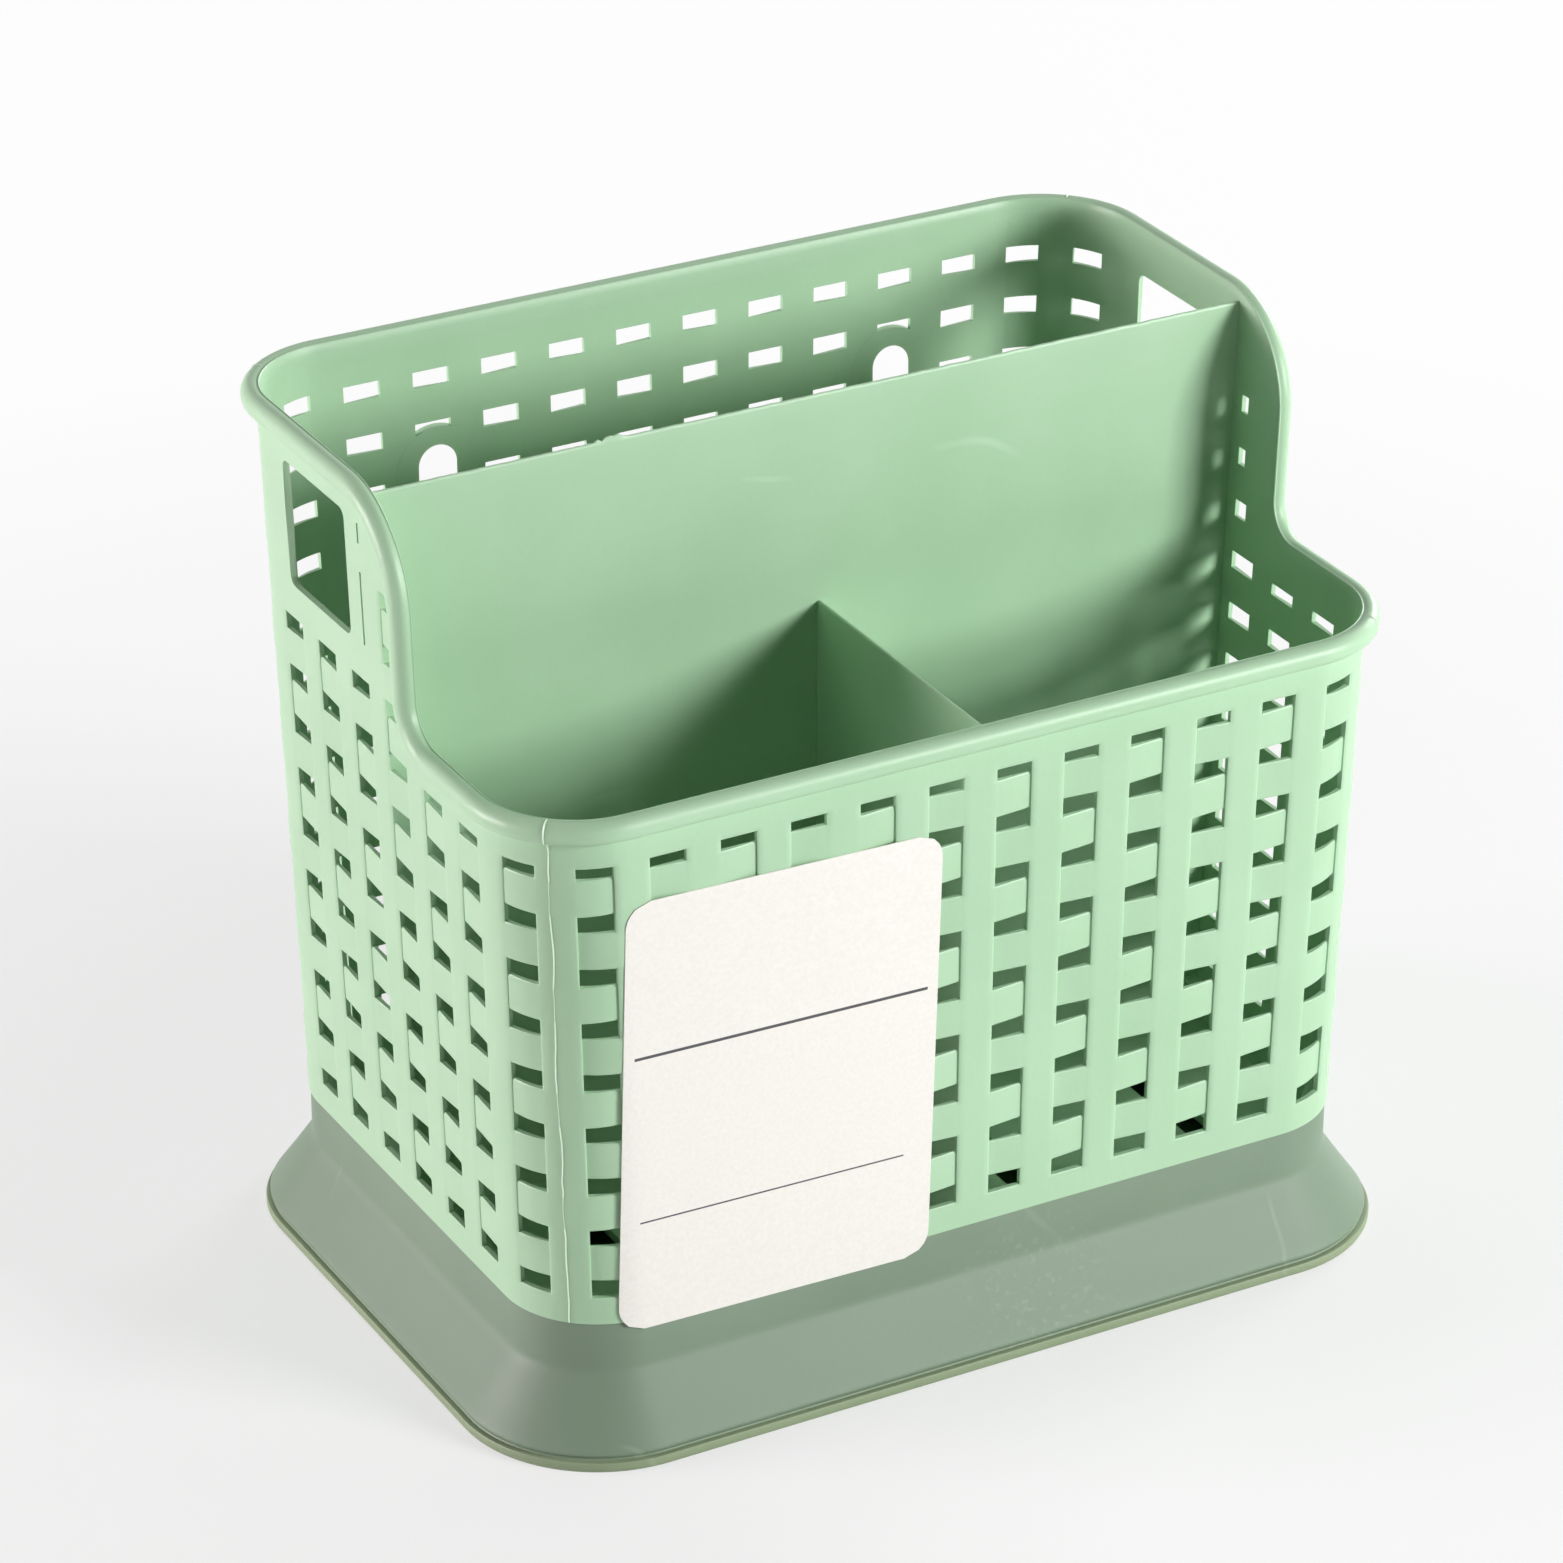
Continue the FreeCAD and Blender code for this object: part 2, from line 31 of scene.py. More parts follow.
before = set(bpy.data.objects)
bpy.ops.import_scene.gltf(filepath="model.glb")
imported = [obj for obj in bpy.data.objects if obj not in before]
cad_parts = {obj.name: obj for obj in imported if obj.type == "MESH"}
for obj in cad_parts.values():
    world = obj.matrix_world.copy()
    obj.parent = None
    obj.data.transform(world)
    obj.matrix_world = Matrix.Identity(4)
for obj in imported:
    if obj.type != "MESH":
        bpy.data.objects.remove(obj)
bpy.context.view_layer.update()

MM = 0.001
SHARP_DEGREES = 40.0

# Walls
SEAT = 21.0
PLUG_TOP = 22.4
RIM_TOP = 140.0
RIM_FRONT = 104.6
HALF_LENGTH = 70.2
HALF_DEPTH = 47.7
CORNER = 15.3
SIDE_LEAN = 3.8
FRONT_LEAN = 1.1
WALL = 0.95
BEAD = 1.75
STEP_SETBACK = 11.0
STEP_ROUND = 15.0
STEP_HOLLOW = 7.0
STEP_ROUND_POINTS = 24
STEP_HOLLOW_POINTS = 14
RIM_LEVELS = (134.0, 136.0)

# Woven lattice
PITCH = 10.95
STRIP = 5.5
FIRST_ROW = 26.85
ROW_PITCH = 8.66
WINDOW = 2.8
ROWS = 13
FRONT_COLUMNS = 12
SIDE_COLUMNS = 8
CORNER_WINDOW = 5.6
CORNER_SHIFTS = (0.0, 0.9, 0.0, 0.9)
PLAIN_BAND = 8.0
TUCK = 0.45
SIDE_TUCK = 0.28
OVERLAP = 0.07
EDGE_DROP = 0.2
EDGE_REACH = 0.34
SLIT_DEPTH = -5.5
SLIT_SHARES = {9: 0.5, 10: 0.3, 11: 0.3}
LEAST_WINDOW = 1.0
LEAST_TUCK = 0.05
WINDOW_SHARES = (0.0, 0.06, 0.3, 0.5, 0.7, 0.94, 1.0)
STRIP_SHARES = (0.2, 0.35, 0.5, 0.65, 0.8)
TUCK_START_SHARE = 0.06
TUCK_RUN_SHARE = 0.88
SLACK_SHARE = 0.001

# Finger openings and hanging holes
HANDLE_LOW = 112.0
HANDLE_HIGH = 132.3
HANDLE_FRONT = 7.6
HANDLE_BACK = 28.4
HANDLE_BACK_INSIDE = 27.8
HANDLE_CORNER = 1.5
HANDLE_CLEAR = 12.3
HANDLE_MARGIN = 5.0
HANGER_ACROSS = 39.5
HANGER_TOP = 119.5
HANGER_FOOT = 109.5
HANGER_RADIUS = 3.2
HANGER_BORDER = 3.8
HANGER_TOP_BORDER = 3.0
HANGER_PROUD = 0.4
HANGER_FLARE = 1.5
HANGER_CLEAR = 8.0
HANGER_SINK = 0.03
ARCH_POINTS = 20
CORNER_POINTS = 5

# Grooves in front of the finger openings
GROOVE_PLACE = 3.1
GROOVE_HALF = 0.27
GROOVE_DEPTH = 0.45
GROOVE_SPANS = ((112.5, 124.2), (128.8, 132.0))

# Reach of the cutting shapes past what they cut
CUT_FRONT = 80.0
CUT_ABOVE = 5.0
CUT_HALF_LENGTH = 90.0
CUT_SIDE = 8.0
CUT_GROOVE = 3.0
CUT_BACK = (40.0, 60.0)


def lean_share(height):
    return (height - SEAT) / (RIM_TOP - SEAT)


def half_length(height):
    return HALF_LENGTH + SIDE_LEAN * lean_share(height)


def half_depth(height):
    return HALF_DEPTH + FRONT_LEAN * lean_share(height)


def quarter_run(height):
    """Length of the wall from the middle of the front to the middle of a side."""
    return half_length(height) + half_depth(height) - 2 * CORNER + CORNER * math.pi / 2


def loop_point(run, length, depth, corner):
    """Points and outward normals on a rounded rectangle at distances from the middle of the front."""
    quarter = length + depth - 2 * corner + corner * math.pi / 2
    run = np.mod(run, 4 * quarter)
    which = np.minimum(np.floor(run / quarter), 3)
    inside = run - which * quarter
    inside = np.where(which % 2 == 1, quarter - inside, inside)
    flat = length - corner
    arc = corner * math.pi / 2
    turn = np.clip((inside - flat) / np.maximum(corner, 1e-9), 0, math.pi / 2)
    x = np.minimum(inside, flat) + corner * np.sin(turn)
    y = -(depth - corner) - corner * np.cos(turn) + np.maximum(inside - flat - arc, 0)
    normal_x = np.sin(turn)
    normal_y = -np.cos(turn)
    flip_x = np.where(which >= 2, -1.0, 1.0)
    flip_y = np.where((which == 1) | (which == 2), -1.0, 1.0)
    return x * flip_x, y * flip_y, normal_x * flip_x, normal_y * flip_y


def face_outward(mesh):
    """Turns every face of a closed mesh outward."""
    edit = bmesh.new()
    edit.from_mesh(mesh)
    bmesh.ops.recalc_face_normals(edit, faces=edit.faces)
    edit.to_mesh(mesh)
    edit.free()


def add_object(name, data):
    obj = bpy.data.objects.new(name, data)
    bpy.context.scene.collection.objects.link(obj)
    return obj


def mesh_object(name, vertices, faces, material, sharp_degrees=SHARP_DEGREES):
    mesh = bpy.data.meshes.new(name)
    mesh.from_pydata([tuple(np.asarray(v, float) * MM) for v in vertices], [], faces)
    mesh.validate()
    face_outward(mesh)
    mesh.polygons.foreach_set("use_smooth", [True] * len(mesh.polygons))
    mesh.set_sharp_from_angle(angle=math.radians(sharp_degrees))
    mesh.materials.append(material)
    return add_object(name, mesh)


def weight_normals(obj):
    modifier = obj.modifiers.new("weighted normals", "WEIGHTED_NORMAL")
    modifier.keep_sharp = True
    modifier.weight = 100


# Materials

RAMP_PLACES = (0.35, 0.65)
CLOUD_SCALE = 35.0
CLOUD_DETAIL = 3.0
GRAIN_SCALE = 900.0
GRAIN_DETAIL = 2.0
GRAIN_DEPTH = 0.2
GLOSS_LESS = 0.06
GLOSS_MORE = 0.08
PLASTIC_IOR = 1.49
GLOW_RADIUS = (0.9, 1.0, 0.7)
GLOW_DEPTH = 1.2
SCRATCH_WARP = 6.0
SCRATCH_DETAIL = 2.0
SCRATCH_DETAIL_SCALE = 1.5
SCRATCH_LINE = (0.992, 1.0)
SCRATCH_PATCH = (0.58, 0.68)
SCRATCH_PATCH_SCALE = 45.0
SCRATCH_PATCH_DETAIL = 1.0
SCUFF_CENTRE = (10.0, -51.0, 8.0)
SCUFF_REACH = 16.0
SCUFF_MARKS = (0.55, 0.72)
SCUFF_SCALE = 900.0
SCUFF_DETAIL = 6.0
# Height of the tray's thin lip, where its painted light fades in
LIP_HEIGHT = 1.7
LIP_FADE_ABOVE = 0.2
LIP_FADE_BELOW = 0.1
BASKET_LOW = (0.405, 0.622, 0.405)
BASKET_HIGH = (0.437, 0.655, 0.437)
PANEL_SCRATCH = (0.62, 0.84, 0.62)
FLASH_LOW = (0.60, 0.78, 0.58)
FLASH_HIGH = (0.66, 0.84, 0.64)
TRAY_LOW = (0.180, 0.254, 0.176)
TRAY_HIGH = (0.200, 0.276, 0.195)
# painted light: the lip's paler yellow-green stands in for the light it catches from the floor
TRAY_LIP_PAINTED_LIGHT = (0.36, 0.43, 0.22)
TRAY_SCUFF = (0.42, 0.52, 0.42)
TRAY_SCRATCH = (0.40, 0.50, 0.38)


def new_material(name):
    material = bpy.data.materials.new(name)
    material.use_nodes = True
    nodes = material.node_tree.nodes
    return material, nodes, material.node_tree.links, nodes["Principled BSDF"]


def set_inputs(node, values):
    for name, value in values.items():
        node.inputs[name].default_value = value


def noise_factor(nodes, links, place, scale, detail):
    """Noise over the object's own space."""
    noise = nodes.new("ShaderNodeTexNoise")
    set_inputs(noise, {"Scale": scale, "Detail": detail})
    links.new(place.outputs["Object"], noise.inputs["Vector"])
    return noise.outputs["Fac"]


def ramp_colour(nodes, links, factor, low, high):
    """A colour between two others, by a factor."""
    ramp = nodes.new("ShaderNodeValToRGB")
    for element, position, colour in zip(ramp.color_ramp.elements, RAMP_PLACES, (low, high)):
        element.position = position
        element.color = (*colour, 1)
    links.new(factor, ramp.inputs["Fac"])
    return ramp.outputs["Color"]


def mix_colour(nodes, links, factor, base, colour):
    """Lays one colour over another by a factor."""
    mix = nodes.new("ShaderNodeMix")
    mix.data_type = "RGBA"
    links.new(factor, mix.inputs["Factor"])
    links.new(base, mix.inputs["A"])
    mix.inputs["B"].default_value = (*colour, 1)
    return mix.outputs["Result"]


def map_range(nodes, links, source, before, after):
    """Carries a value from one range to another, and holds it there."""
    node = nodes.new("ShaderNodeMapRange")
    set_inputs(node, {"From Min": before[0], "From Max": before[1], "To Min": after[0], "To Max": after[1]})
    links.new(source, node.inputs["Value"])
    return node.outputs["Result"]


def product(nodes, links, first, second):
    node = nodes.new("ShaderNodeMath")
    node.operation = "MULTIPLY"
    links.new(first, node.inputs[0])
    links.new(second, node.inputs[1])
    return node.outputs["Value"]


def add_bump(nodes, links, shader, height, strength, depth):
    bump = nodes.new("ShaderNodeBump")
    set_inputs(bump, {"Strength": strength, "Distance": depth * MM})
    links.new(height, bump.inputs["Height"])
    links.new(bump.outputs["Normal"], shader.inputs["Normal"])


def scratch_factor(nodes, links, place, ring_scale, most):
    """Faint curved scratches: thin lines of warped rings that show only in patches."""
    rings = nodes.new("ShaderNodeTexWave")
    rings.wave_type = "RINGS"
    rings.rings_direction = "SPHERICAL"
    set_inputs(rings, {
        "Scale": ring_scale, "Distortion": SCRATCH_WARP,
        "Detail": SCRATCH_DETAIL, "Detail Scale": SCRATCH_DETAIL_SCALE,
    })
    links.new(place.outputs["Object"], rings.inputs["Vector"])
    line = map_range(nodes, links, rings.outputs["Fac"], SCRATCH_LINE, (0.0, most))
    patches = noise_factor(nodes, links, place, SCRATCH_PATCH_SCALE, SCRATCH_PATCH_DETAIL)
    return product(nodes, links, line, map_range(nodes, links, patches, SCRATCH_PATCH, (0.0, 1.0)))


def scuff_factor(nodes, links, place, most):
    """A patch of pale scuff marks on the front of the tray."""
    offset = nodes.new("ShaderNodeVectorMath")
    offset.operation = "DISTANCE"
    offset.inputs[1].default_value = Vector(SCUFF_CENTRE) * MM
    links.new(place.outputs["Object"], offset.inputs[0])
    reach = SCUFF_REACH * MM
    near = map_range(nodes, links, offset.outputs["Value"], (reach, reach / 3), (0.0, 1.0))
    marks = noise_factor(nodes, links, place, SCUFF_SCALE, SCUFF_DETAIL)
    return product(nodes, links, near, map_range(nodes, links, marks, SCUFF_MARKS, (0.0, most)))


def lip_painted_light_factor(nodes, links, place, most):
    """A factor for painted light: the thin lip at the tray's foot is painted paler, for the light it catches
    from the floor.
    """
    split = nodes.new("ShaderNodeSeparateXYZ")
    links.new(place.outputs["Object"], split.inputs["Vector"])
    fade = ((LIP_HEIGHT + LIP_FADE_ABOVE) * MM, (LIP_HEIGHT - LIP_FADE_BELOW) * MM)
    return map_range(nodes, links, split.outputs["Z"], fade, (0.0, most))


def moulded_plastic(name, low, high, roughness, grain, glow, marks=None):
    """Satin polypropylene: slight cloudiness, fine moulding grain and light through thin edges."""
    material, nodes, links, shader = new_material(name)
    place = nodes.new("ShaderNodeTexCoord")
    cloud = noise_factor(nodes, links, place, CLOUD_SCALE, CLOUD_DETAIL)
    colour = ramp_colour(nodes, links, cloud, low, high)
    if marks:
        colour = marks(nodes, links, place, colour)
    links.new(colour, shader.inputs["Base Color"])
    gloss = map_range(nodes, links, cloud, (0.0, 1.0), (roughness - GLOSS_LESS, roughness + GLOSS_MORE))
    links.new(gloss, shader.inputs["Roughness"])
    fine = noise_factor(nodes, links, place, GRAIN_SCALE, GRAIN_DETAIL)
    add_bump(nodes, links, shader, fine, grain, GRAIN_DEPTH)
    set_inputs(shader, {
        "IOR": PLASTIC_IOR, "Subsurface Weight": glow,
        "Subsurface Radius": GLOW_RADIUS, "Subsurface Scale": GLOW_DEPTH * MM,
    })
    return material


def panel_marks(nodes, links, place, colour):
    """Fine scratches that cutlery leaves on the divider."""
    scratches = scratch_factor(nodes, links, place, ring_scale=9.0, most=0.35)
    return mix_colour(nodes, links, scratches, colour, PANEL_SCRATCH)


def tray_wear_and_lip_light(nodes, links, place, colour):
    """Painted light that makes the thin lip paler, and scuffs and scratches on the flare."""
    # painted light: the lip is painted paler
    colour = mix_colour(nodes, links, lip_painted_light_factor(nodes, links, place, most=0.42), colour, TRAY_LIP_PAINTED_LIGHT)
    colour = mix_colour(nodes, links, scuff_factor(nodes, links, place, most=0.18), colour, TRAY_SCUFF)
    scratches = scratch_factor(nodes, links, place, ring_scale=14.0, most=0.2)
    return mix_colour(nodes, links, scratches, colour, TRAY_SCRATCH)


basket_plastic = moulded_plastic(
    "basket_plastic", BASKET_LOW, BASKET_HIGH, roughness=0.42, grain=0.12, glow=0.10
)
panel_plastic = moulded_plastic(
    "panel_plastic", BASKET_LOW, BASKET_HIGH, roughness=0.40, grain=0.10, glow=0.10, marks=panel_marks
)
flash_plastic = moulded_plastic(
    "flash_plastic", FLASH_LOW, FLASH_HIGH, roughness=0.40, grain=0.10, glow=0.20
)
tray_plastic = moulded_plastic(
    "tray_plastic", TRAY_LOW, TRAY_HIGH, roughness=0.54, grain=0.10, glow=0.05, marks=tray_wear_and_lip_light
)


LABEL_WIDTH = 51.6
LABEL_TOP = 89.5
LABEL_FOOT = 18.9
LABEL_CORNER = 4.0
LABEL_SHIFT = -32.8
LABEL_TURN = 1.2
LABEL_THICK = 0.15
LABEL_GAP = 0.02
LABEL_BEND_SHARE = 0.75
LABEL_COLUMNS = 60
LABEL_ROWS = 80
# Ruled lines: height and shift from the label's middle, half the run and half the thickness
LABEL_RULES = ((10.05, 0.0, 24.1, 0.24), (-17.3, -0.9, 21.9, 0.13))
LABEL_INK = (0.07, 0.07, 0.075)
PAPER_LOW = (0.825, 0.800, 0.752)
PAPER_HIGH = (0.862, 0.838, 0.790)
PAPER_ROUGHNESS = 0.5
FIBRE_SCALE = 1600.0
FIBRE_DETAIL = 4.0
FIBRE_STRENGTH = 0.08
FIBRE_DEPTH = 0.1


def near_factor(nodes, links, place, direction, target, reach):
    """One where the distance along a direction lies within reach of a target, in millimetres."""
    along = nodes.new("ShaderNodeVectorMath")
    along.operation = "DOT_PRODUCT"
    along.inputs[1].default_value = direction
    links.new(place.outputs["Object"], along.inputs[0])
    near = nodes.new("ShaderNodeMath")
    near.operation = "COMPARE"
    near.inputs[1].default_value = target * MM
    near.inputs[2].default_value = reach * MM
    links.new(along.outputs["Value"], near.inputs[0])
    return near.outputs["Value"]


def paper_material():
    """Coated paper with two plain ruled lines."""
    material, nodes, links, shader = new_material("label_paper")
    place = nodes.new("ShaderNodeTexCoord")
    fibre = noise_factor(nodes, links, place, FIBRE_SCALE, FIBRE_DETAIL)
    colour = ramp_colour(nodes, links, fibre, PAPER_LOW, PAPER_HIGH)
    turn = math.radians(LABEL_TURN)
    upward = (math.sin(turn), 0.0, math.cos(turn))
    sideways = (math.cos(turn), 0.0, -math.sin(turn))
    centre = (LABEL_TOP + LABEL_FOOT) / 2
    centre_up = LABEL_SHIFT * upward[0] + centre * upward[2]
    centre_side = LABEL_SHIFT * sideways[0] + centre * sideways[2]
    for up, side, half_run, half_thick in LABEL_RULES:
        in_height = near_factor(nodes, links, place, upward, centre_up + up, half_thick)
        in_run = near_factor(nodes, links, place, sideways, centre_side + side, half_run)
        colour = mix_colour(nodes, links, product(nodes, links, in_height, in_run), colour, LABEL_INK)
    links.new(colour, shader.inputs["Base Color"])
    shader.inputs["Roughness"].default_value = PAPER_ROUGHNESS
    add_bump(nodes, links, shader, fibre, FIBRE_STRENGTH, FIBRE_DEPTH)
    return material


label_paper = paper_material()


# Basket walls

def column_list(levels):
    """Every column of the lattice: its middle, half width, wall and place from that wall's middle."""
    quarter = quarter_run(levels)
    pitch = PITCH * half_length(levels) / HALF_LENGTH
    columns = []
    for side, count in enumerate((FRONT_COLUMNS, SIDE_COLUMNS, FRONT_COLUMNS, SIDE_COLUMNS)):
        for number in range(count):
            pitches = number - (count - 1) / 2
            at_corner = number in (0, count - 1)
            along = pitches * pitch
            width = pitch - STRIP
            if at_corner:
                along = along + math.copysign(CORNER_SHIFTS[side], pitches)
                width = np.full_like(levels, CORNER_WINDOW)
            middle = side * quarter + along
            columns.append({"middle": middle, "half": width / 2, "side": side, "along": along})
    return columns


def rim_height(depth):
    """Top of the rim over a place on a side wall."""
    if depth > -STEP_SETBACK:
        reach = min(0.0, depth + STEP_SETBACK - STEP_ROUND)
        return RIM_TOP - STEP_ROUND + math.sqrt(STEP_ROUND ** 2 - reach ** 2)
    reach = max(0.0, depth + STEP_SETBACK + STEP_HOLLOW)
    return RIM_FRONT + STEP_HOLLOW - math.sqrt(STEP_HOLLOW ** 2 - reach ** 2)


def window_top(side, along, row):
    """Top of a window, or None where the wall is closed."""
    middle = FIRST_ROW + row * ROW_PITCH
    low = middle - WINDOW / 2
    if side == 0:
        limit = RIM_FRONT - PLAIN_BAND
    elif side == 2:
        limit = RIM_TOP - PLAIN_BAND
        at_hanger = abs(abs(along) - HANGER_ACROSS) < PITCH / 2
        if at_hanger and HANGER_FOOT - HANGER_CLEAR < middle < HANGER_TOP:
            return None
    else:
        depth = along if side == 1 else -along
        if abs(depth - (HANDLE_FRONT + HANDLE_BACK) / 2) < HANDLE_CLEAR:
            limit = HANDLE_LOW - HANDLE_MARGIN
        else:
            limit = rim_height(depth) - PLAIN_BAND
    top = min(middle + WINDOW / 2, limit)
    return top if top - low > LEAST_WINDOW else None


def open_span(side, along, row):
    """The share of a window's width that is open: beside the step the side windows shrink to slits."""
    if side not in (1, 3):
        return (0.0, 1.0)
    depth = along if side == 1 else -along
    if abs(depth - SLIT_DEPTH) > PITCH / 2 or row not in SLIT_SHARES:
        return (0.0, 1.0)
    share = SLIT_SHARES[row]
    return (1.0 - share, 1.0) if side == 1 else (0.0, share)


def level_list():
    """Heights of the wall's rows of points."""
    levels = {SEAT, PLUG_TOP}
    for row in range(ROWS):
        middle = FIRST_ROW + row * ROW_PITCH
        low = middle - WINDOW / 2
        high = min(middle + WINDOW / 2, RIM_TOP - PLAIN_BAND)
        levels.update((low - EDGE_REACH, low, high, high + EDGE_REACH))
        if row < ROWS - 1:
            levels.add(middle + ROW_PITCH / 2)
    levels.add(RIM_FRONT - PLAIN_BAND)
    levels.add(RIM_FRONT - PLAIN_BAND + EDGE_REACH)
    levels.update((*RIM_LEVELS, RIM_TOP - BEAD))
    return np.array(sorted(levels))


def make_wall():
    """The woven wall up to the rim's full height: strips, woven strips, windows and their edges."""
    levels = level_list()
    columns = column_list(levels)
    total = 4 * quarter_run(levels)
    lines = []
    kinds = []
    for number, column in enumerate(columns):
        left = column["middle"] - column["half"]
        right = column["middle"] + column["half"]
        for step in WINDOW_SHARES:
            kind = {0.0: "left", 1.0: "right"}.get(step, "inner")
            lines.append(left + (right - left) * step)
            kinds.append((kind, number, step))
        following = columns[(number + 1) % len(columns)]
        start = following["middle"] - following["half"]
        if number == len(columns) - 1:
            start = start + total
        gap = start - right
        edge = EDGE_REACH / gap
        for step in (edge, *STRIP_SHARES, 1 - edge):
            lines.append(right + gap * step)
            kinds.append(("strip", number, None))
    runs = np.array(lines)
    length = half_length(levels)
    depth = half_depth(levels)
    x, y, nx, ny = loop_point(runs, length[None, :], depth[None, :], CORNER)

    def at(line, level, inset):
        return (
            x[line, level] - nx[line, level] * inset,
            y[line, level] - ny[line, level] * inset,
            levels[level],
        )

    line_count = len(lines)
    level_count = len(levels)
    tops = {}
    spans = {}
    for number, column in enumerate(columns):
        for row in range(ROWS):
            middle = FIRST_ROW + row * ROW_PITCH
            place = float(np.interp(middle, levels, column["along"]))
            tops[number, row] = window_top(column["side"], place, row)
            spans[number, row] = open_span(column["side"], place, row)

    def row_of(height):
        return int(math.floor((height - FIRST_ROW + ROW_PITCH / 2) / ROW_PITCH))

    def is_hole(number, height, share):
        row = row_of(height)
        if not 0 <= row < ROWS or tops[number, row] is None:
            return False
        low = FIRST_ROW + row * ROW_PITCH - WINDOW / 2
        start, end = spans[number, row]
        return low < height < tops[number, row] and start - SLACK_SHARE <= share <= end + SLACK_SHARE

    middles = (levels[1:] + levels[:-1]) / 2
    next_step = dict(zip(WINDOW_SHARES, WINDOW_SHARES[1:]))
    hole = np.zeros((line_count, level_count - 1), bool)
    for line in range(line_count):
        kind, number, step = kinds[line]
        if kind in ("left", "inner"):
            for level, height in enumerate(middles):
                both = (step, next_step[step])
                hole[line, level] = all(is_hole(number, height, share) for share in both)

    def woven(number, height):
        """The strip between two windows of a column: its lower row, or None where the wall is plain."""
        row = int(math.floor((height - FIRST_ROW) / ROW_PITCH))
        if tops.get((number, row)) is None or tops.get((number, row + 1)) is None:
            return None
        return row

    def tucked_left(number, row):
        return (number + row) % 2 == 0

    vertices = []
    outer = np.full((line_count, level_count), -1, int)
    woven_side = {}
    inner = np.full((line_count, level_count), -1, int)

    def add(point):
        vertices.append(point)
        return len(vertices) - 1

    def strip_edge_drop(number, side, level):
        """Rounding of an upright strip beside a window or beside a tucked end."""
        below = middles[level - 1] if level > 0 else middles[0]
        above = middles[level] if level < level_count - 1 else middles[-1]
        share = 0.0 if side == "left" else 1.0
        if is_hole(number, below, share) or is_hole(number, above, share):
            return EDGE_DROP
        row = woven(number, levels[level])
        if row is None:
            return 0.0
        tucked = "left" if tucked_left(number, row) else "right"
        return EDGE_DROP if tucked == side else 0.0

    def woven_depth(number, step, level):
        """Depth of a woven strip: level with one neighbour and tucked under the other."""
        height = levels[level]
        row = woven(number, height)
        depth_here = 0.0
        if row is not None:
            share = step if not tucked_left(number, row) else 1 - step
            share = min(1.0, max(0.0, (share - TUCK_START_SHARE) / TUCK_RUN_SHARE))
            depth_here = (TUCK if columns[number]["side"] in (0, 2) else SIDE_TUCK) * share
        below = level > 0 and is_hole(number, middles[level - 1], step)
        above = level < level_count - 1 and is_hole(number, middles[level], step)
        if below or above:
            depth_here += EDGE_DROP
        return depth_here

    def passes_over(number, height):
        """Whether the woven strips on both sides of an upright strip run level across it."""
        following = (number + 1) % len(columns)
        row = woven(number, height)
        if row is None or woven(following, height) is None:
            return False
        low = FIRST_ROW + row * ROW_PITCH + WINDOW / 2 + EDGE_REACH / 2
        if not low < height < low + ROW_PITCH - WINDOW - EDGE_REACH:
            return False
        return tucked_left(number, row) and not tucked_left(following, row)

    for line in range(line_count):
        kind, number, step = kinds[line]
        for level in range(level_count):
            if kind == "strip":
                drop = -OVERLAP if passes_over(number, levels[level]) else 0.0
            elif kind == "inner":
                drop = woven_depth(number, step, level)
            else:
                drop = strip_edge_drop(number, kind, level)
            outer[line, level] = add(at(line, level, drop))
            inner[line, level] = add(at(line, level, WALL))
            if kind in ("left", "right"):
                depth_here = woven_depth(number, step, level)
                row = woven(number, levels[level])
                tucked = row is not None and (kind == "left") == tucked_left(number, row)
                if tucked and depth_here > drop + LEAST_TUCK:
                    woven_side[line, level] = add(at(line, level, depth_here))

    def strip_vertex(line, level):
        return outer[line, level]

    def woven_vertex(line, level):
        return woven_side.get((line, level), outer[line, level])

    faces = []

    def add_jamb(line, first, second):
        """The side of a window, from the outer edge over any tucked edge to the inner one."""
        corners = [outer[line, second], outer[line, first]]
        if (line, first) in woven_side:
            corners.append(woven_side[line, first])
        corners += [inner[line, first], inner[line, second]]
        if (line, second) in woven_side:
            corners.append(woven_side[line, second])
        faces.append(corners)

    def add_step(line, first, second):
        """The edge of an upright strip over a tucked end, where there is one."""
        corners = (
            outer[line, first], woven_vertex(line, first),
            woven_vertex(line, second), outer[line, second],
        )
        unique = list(dict.fromkeys(int(v) for v in corners))
        if len(unique) > 2:
            faces.append(unique)

    last = level_count - 1
    for line in range(line_count):
        following = (line + 1) % line_count
        kind = kinds[line][0]
        in_column = kind in ("left", "inner")
        vertex = woven_vertex if in_column else strip_vertex
        for level in range(last):
            above = level + 1
            if hole[line, level]:
                if not hole[line - 1, level]:
                    add_jamb(line, level, above)
                if not hole[following, level]:
                    add_jamb(following, above, level)
                if level == 0 or not hole[line, level - 1]:
                    faces.append([
                        woven_vertex(line, level), woven_vertex(following, level),
                        inner[following, level], inner[line, level],
                    ])
                if above == last or not hole[line, above]:
                    faces.append([
                        woven_vertex(following, above), woven_vertex(line, above),
                        inner[line, above], inner[following, above],
                    ])
                continue
            faces.append([
                vertex(line, level), vertex(following, level),
                vertex(following, above), vertex(line, above),
            ])
            faces.append([
                inner[line, above], inner[following, above],
                inner[following, level], inner[line, level],
            ])
            if kind == "left":
                add_step(line, level, above)
            if kinds[following][0] == "right" and in_column:
                add_step(following, above, level)
        faces.append([vertex(following, 0), vertex(line, 0), inner[line, 0], inner[following, 0]])
        faces.append([
            vertex(line, last), vertex(following, last),
            inner[following, last], inner[line, last],
        ])
    return vertices, [[int(v) for v in face] for face in faces]


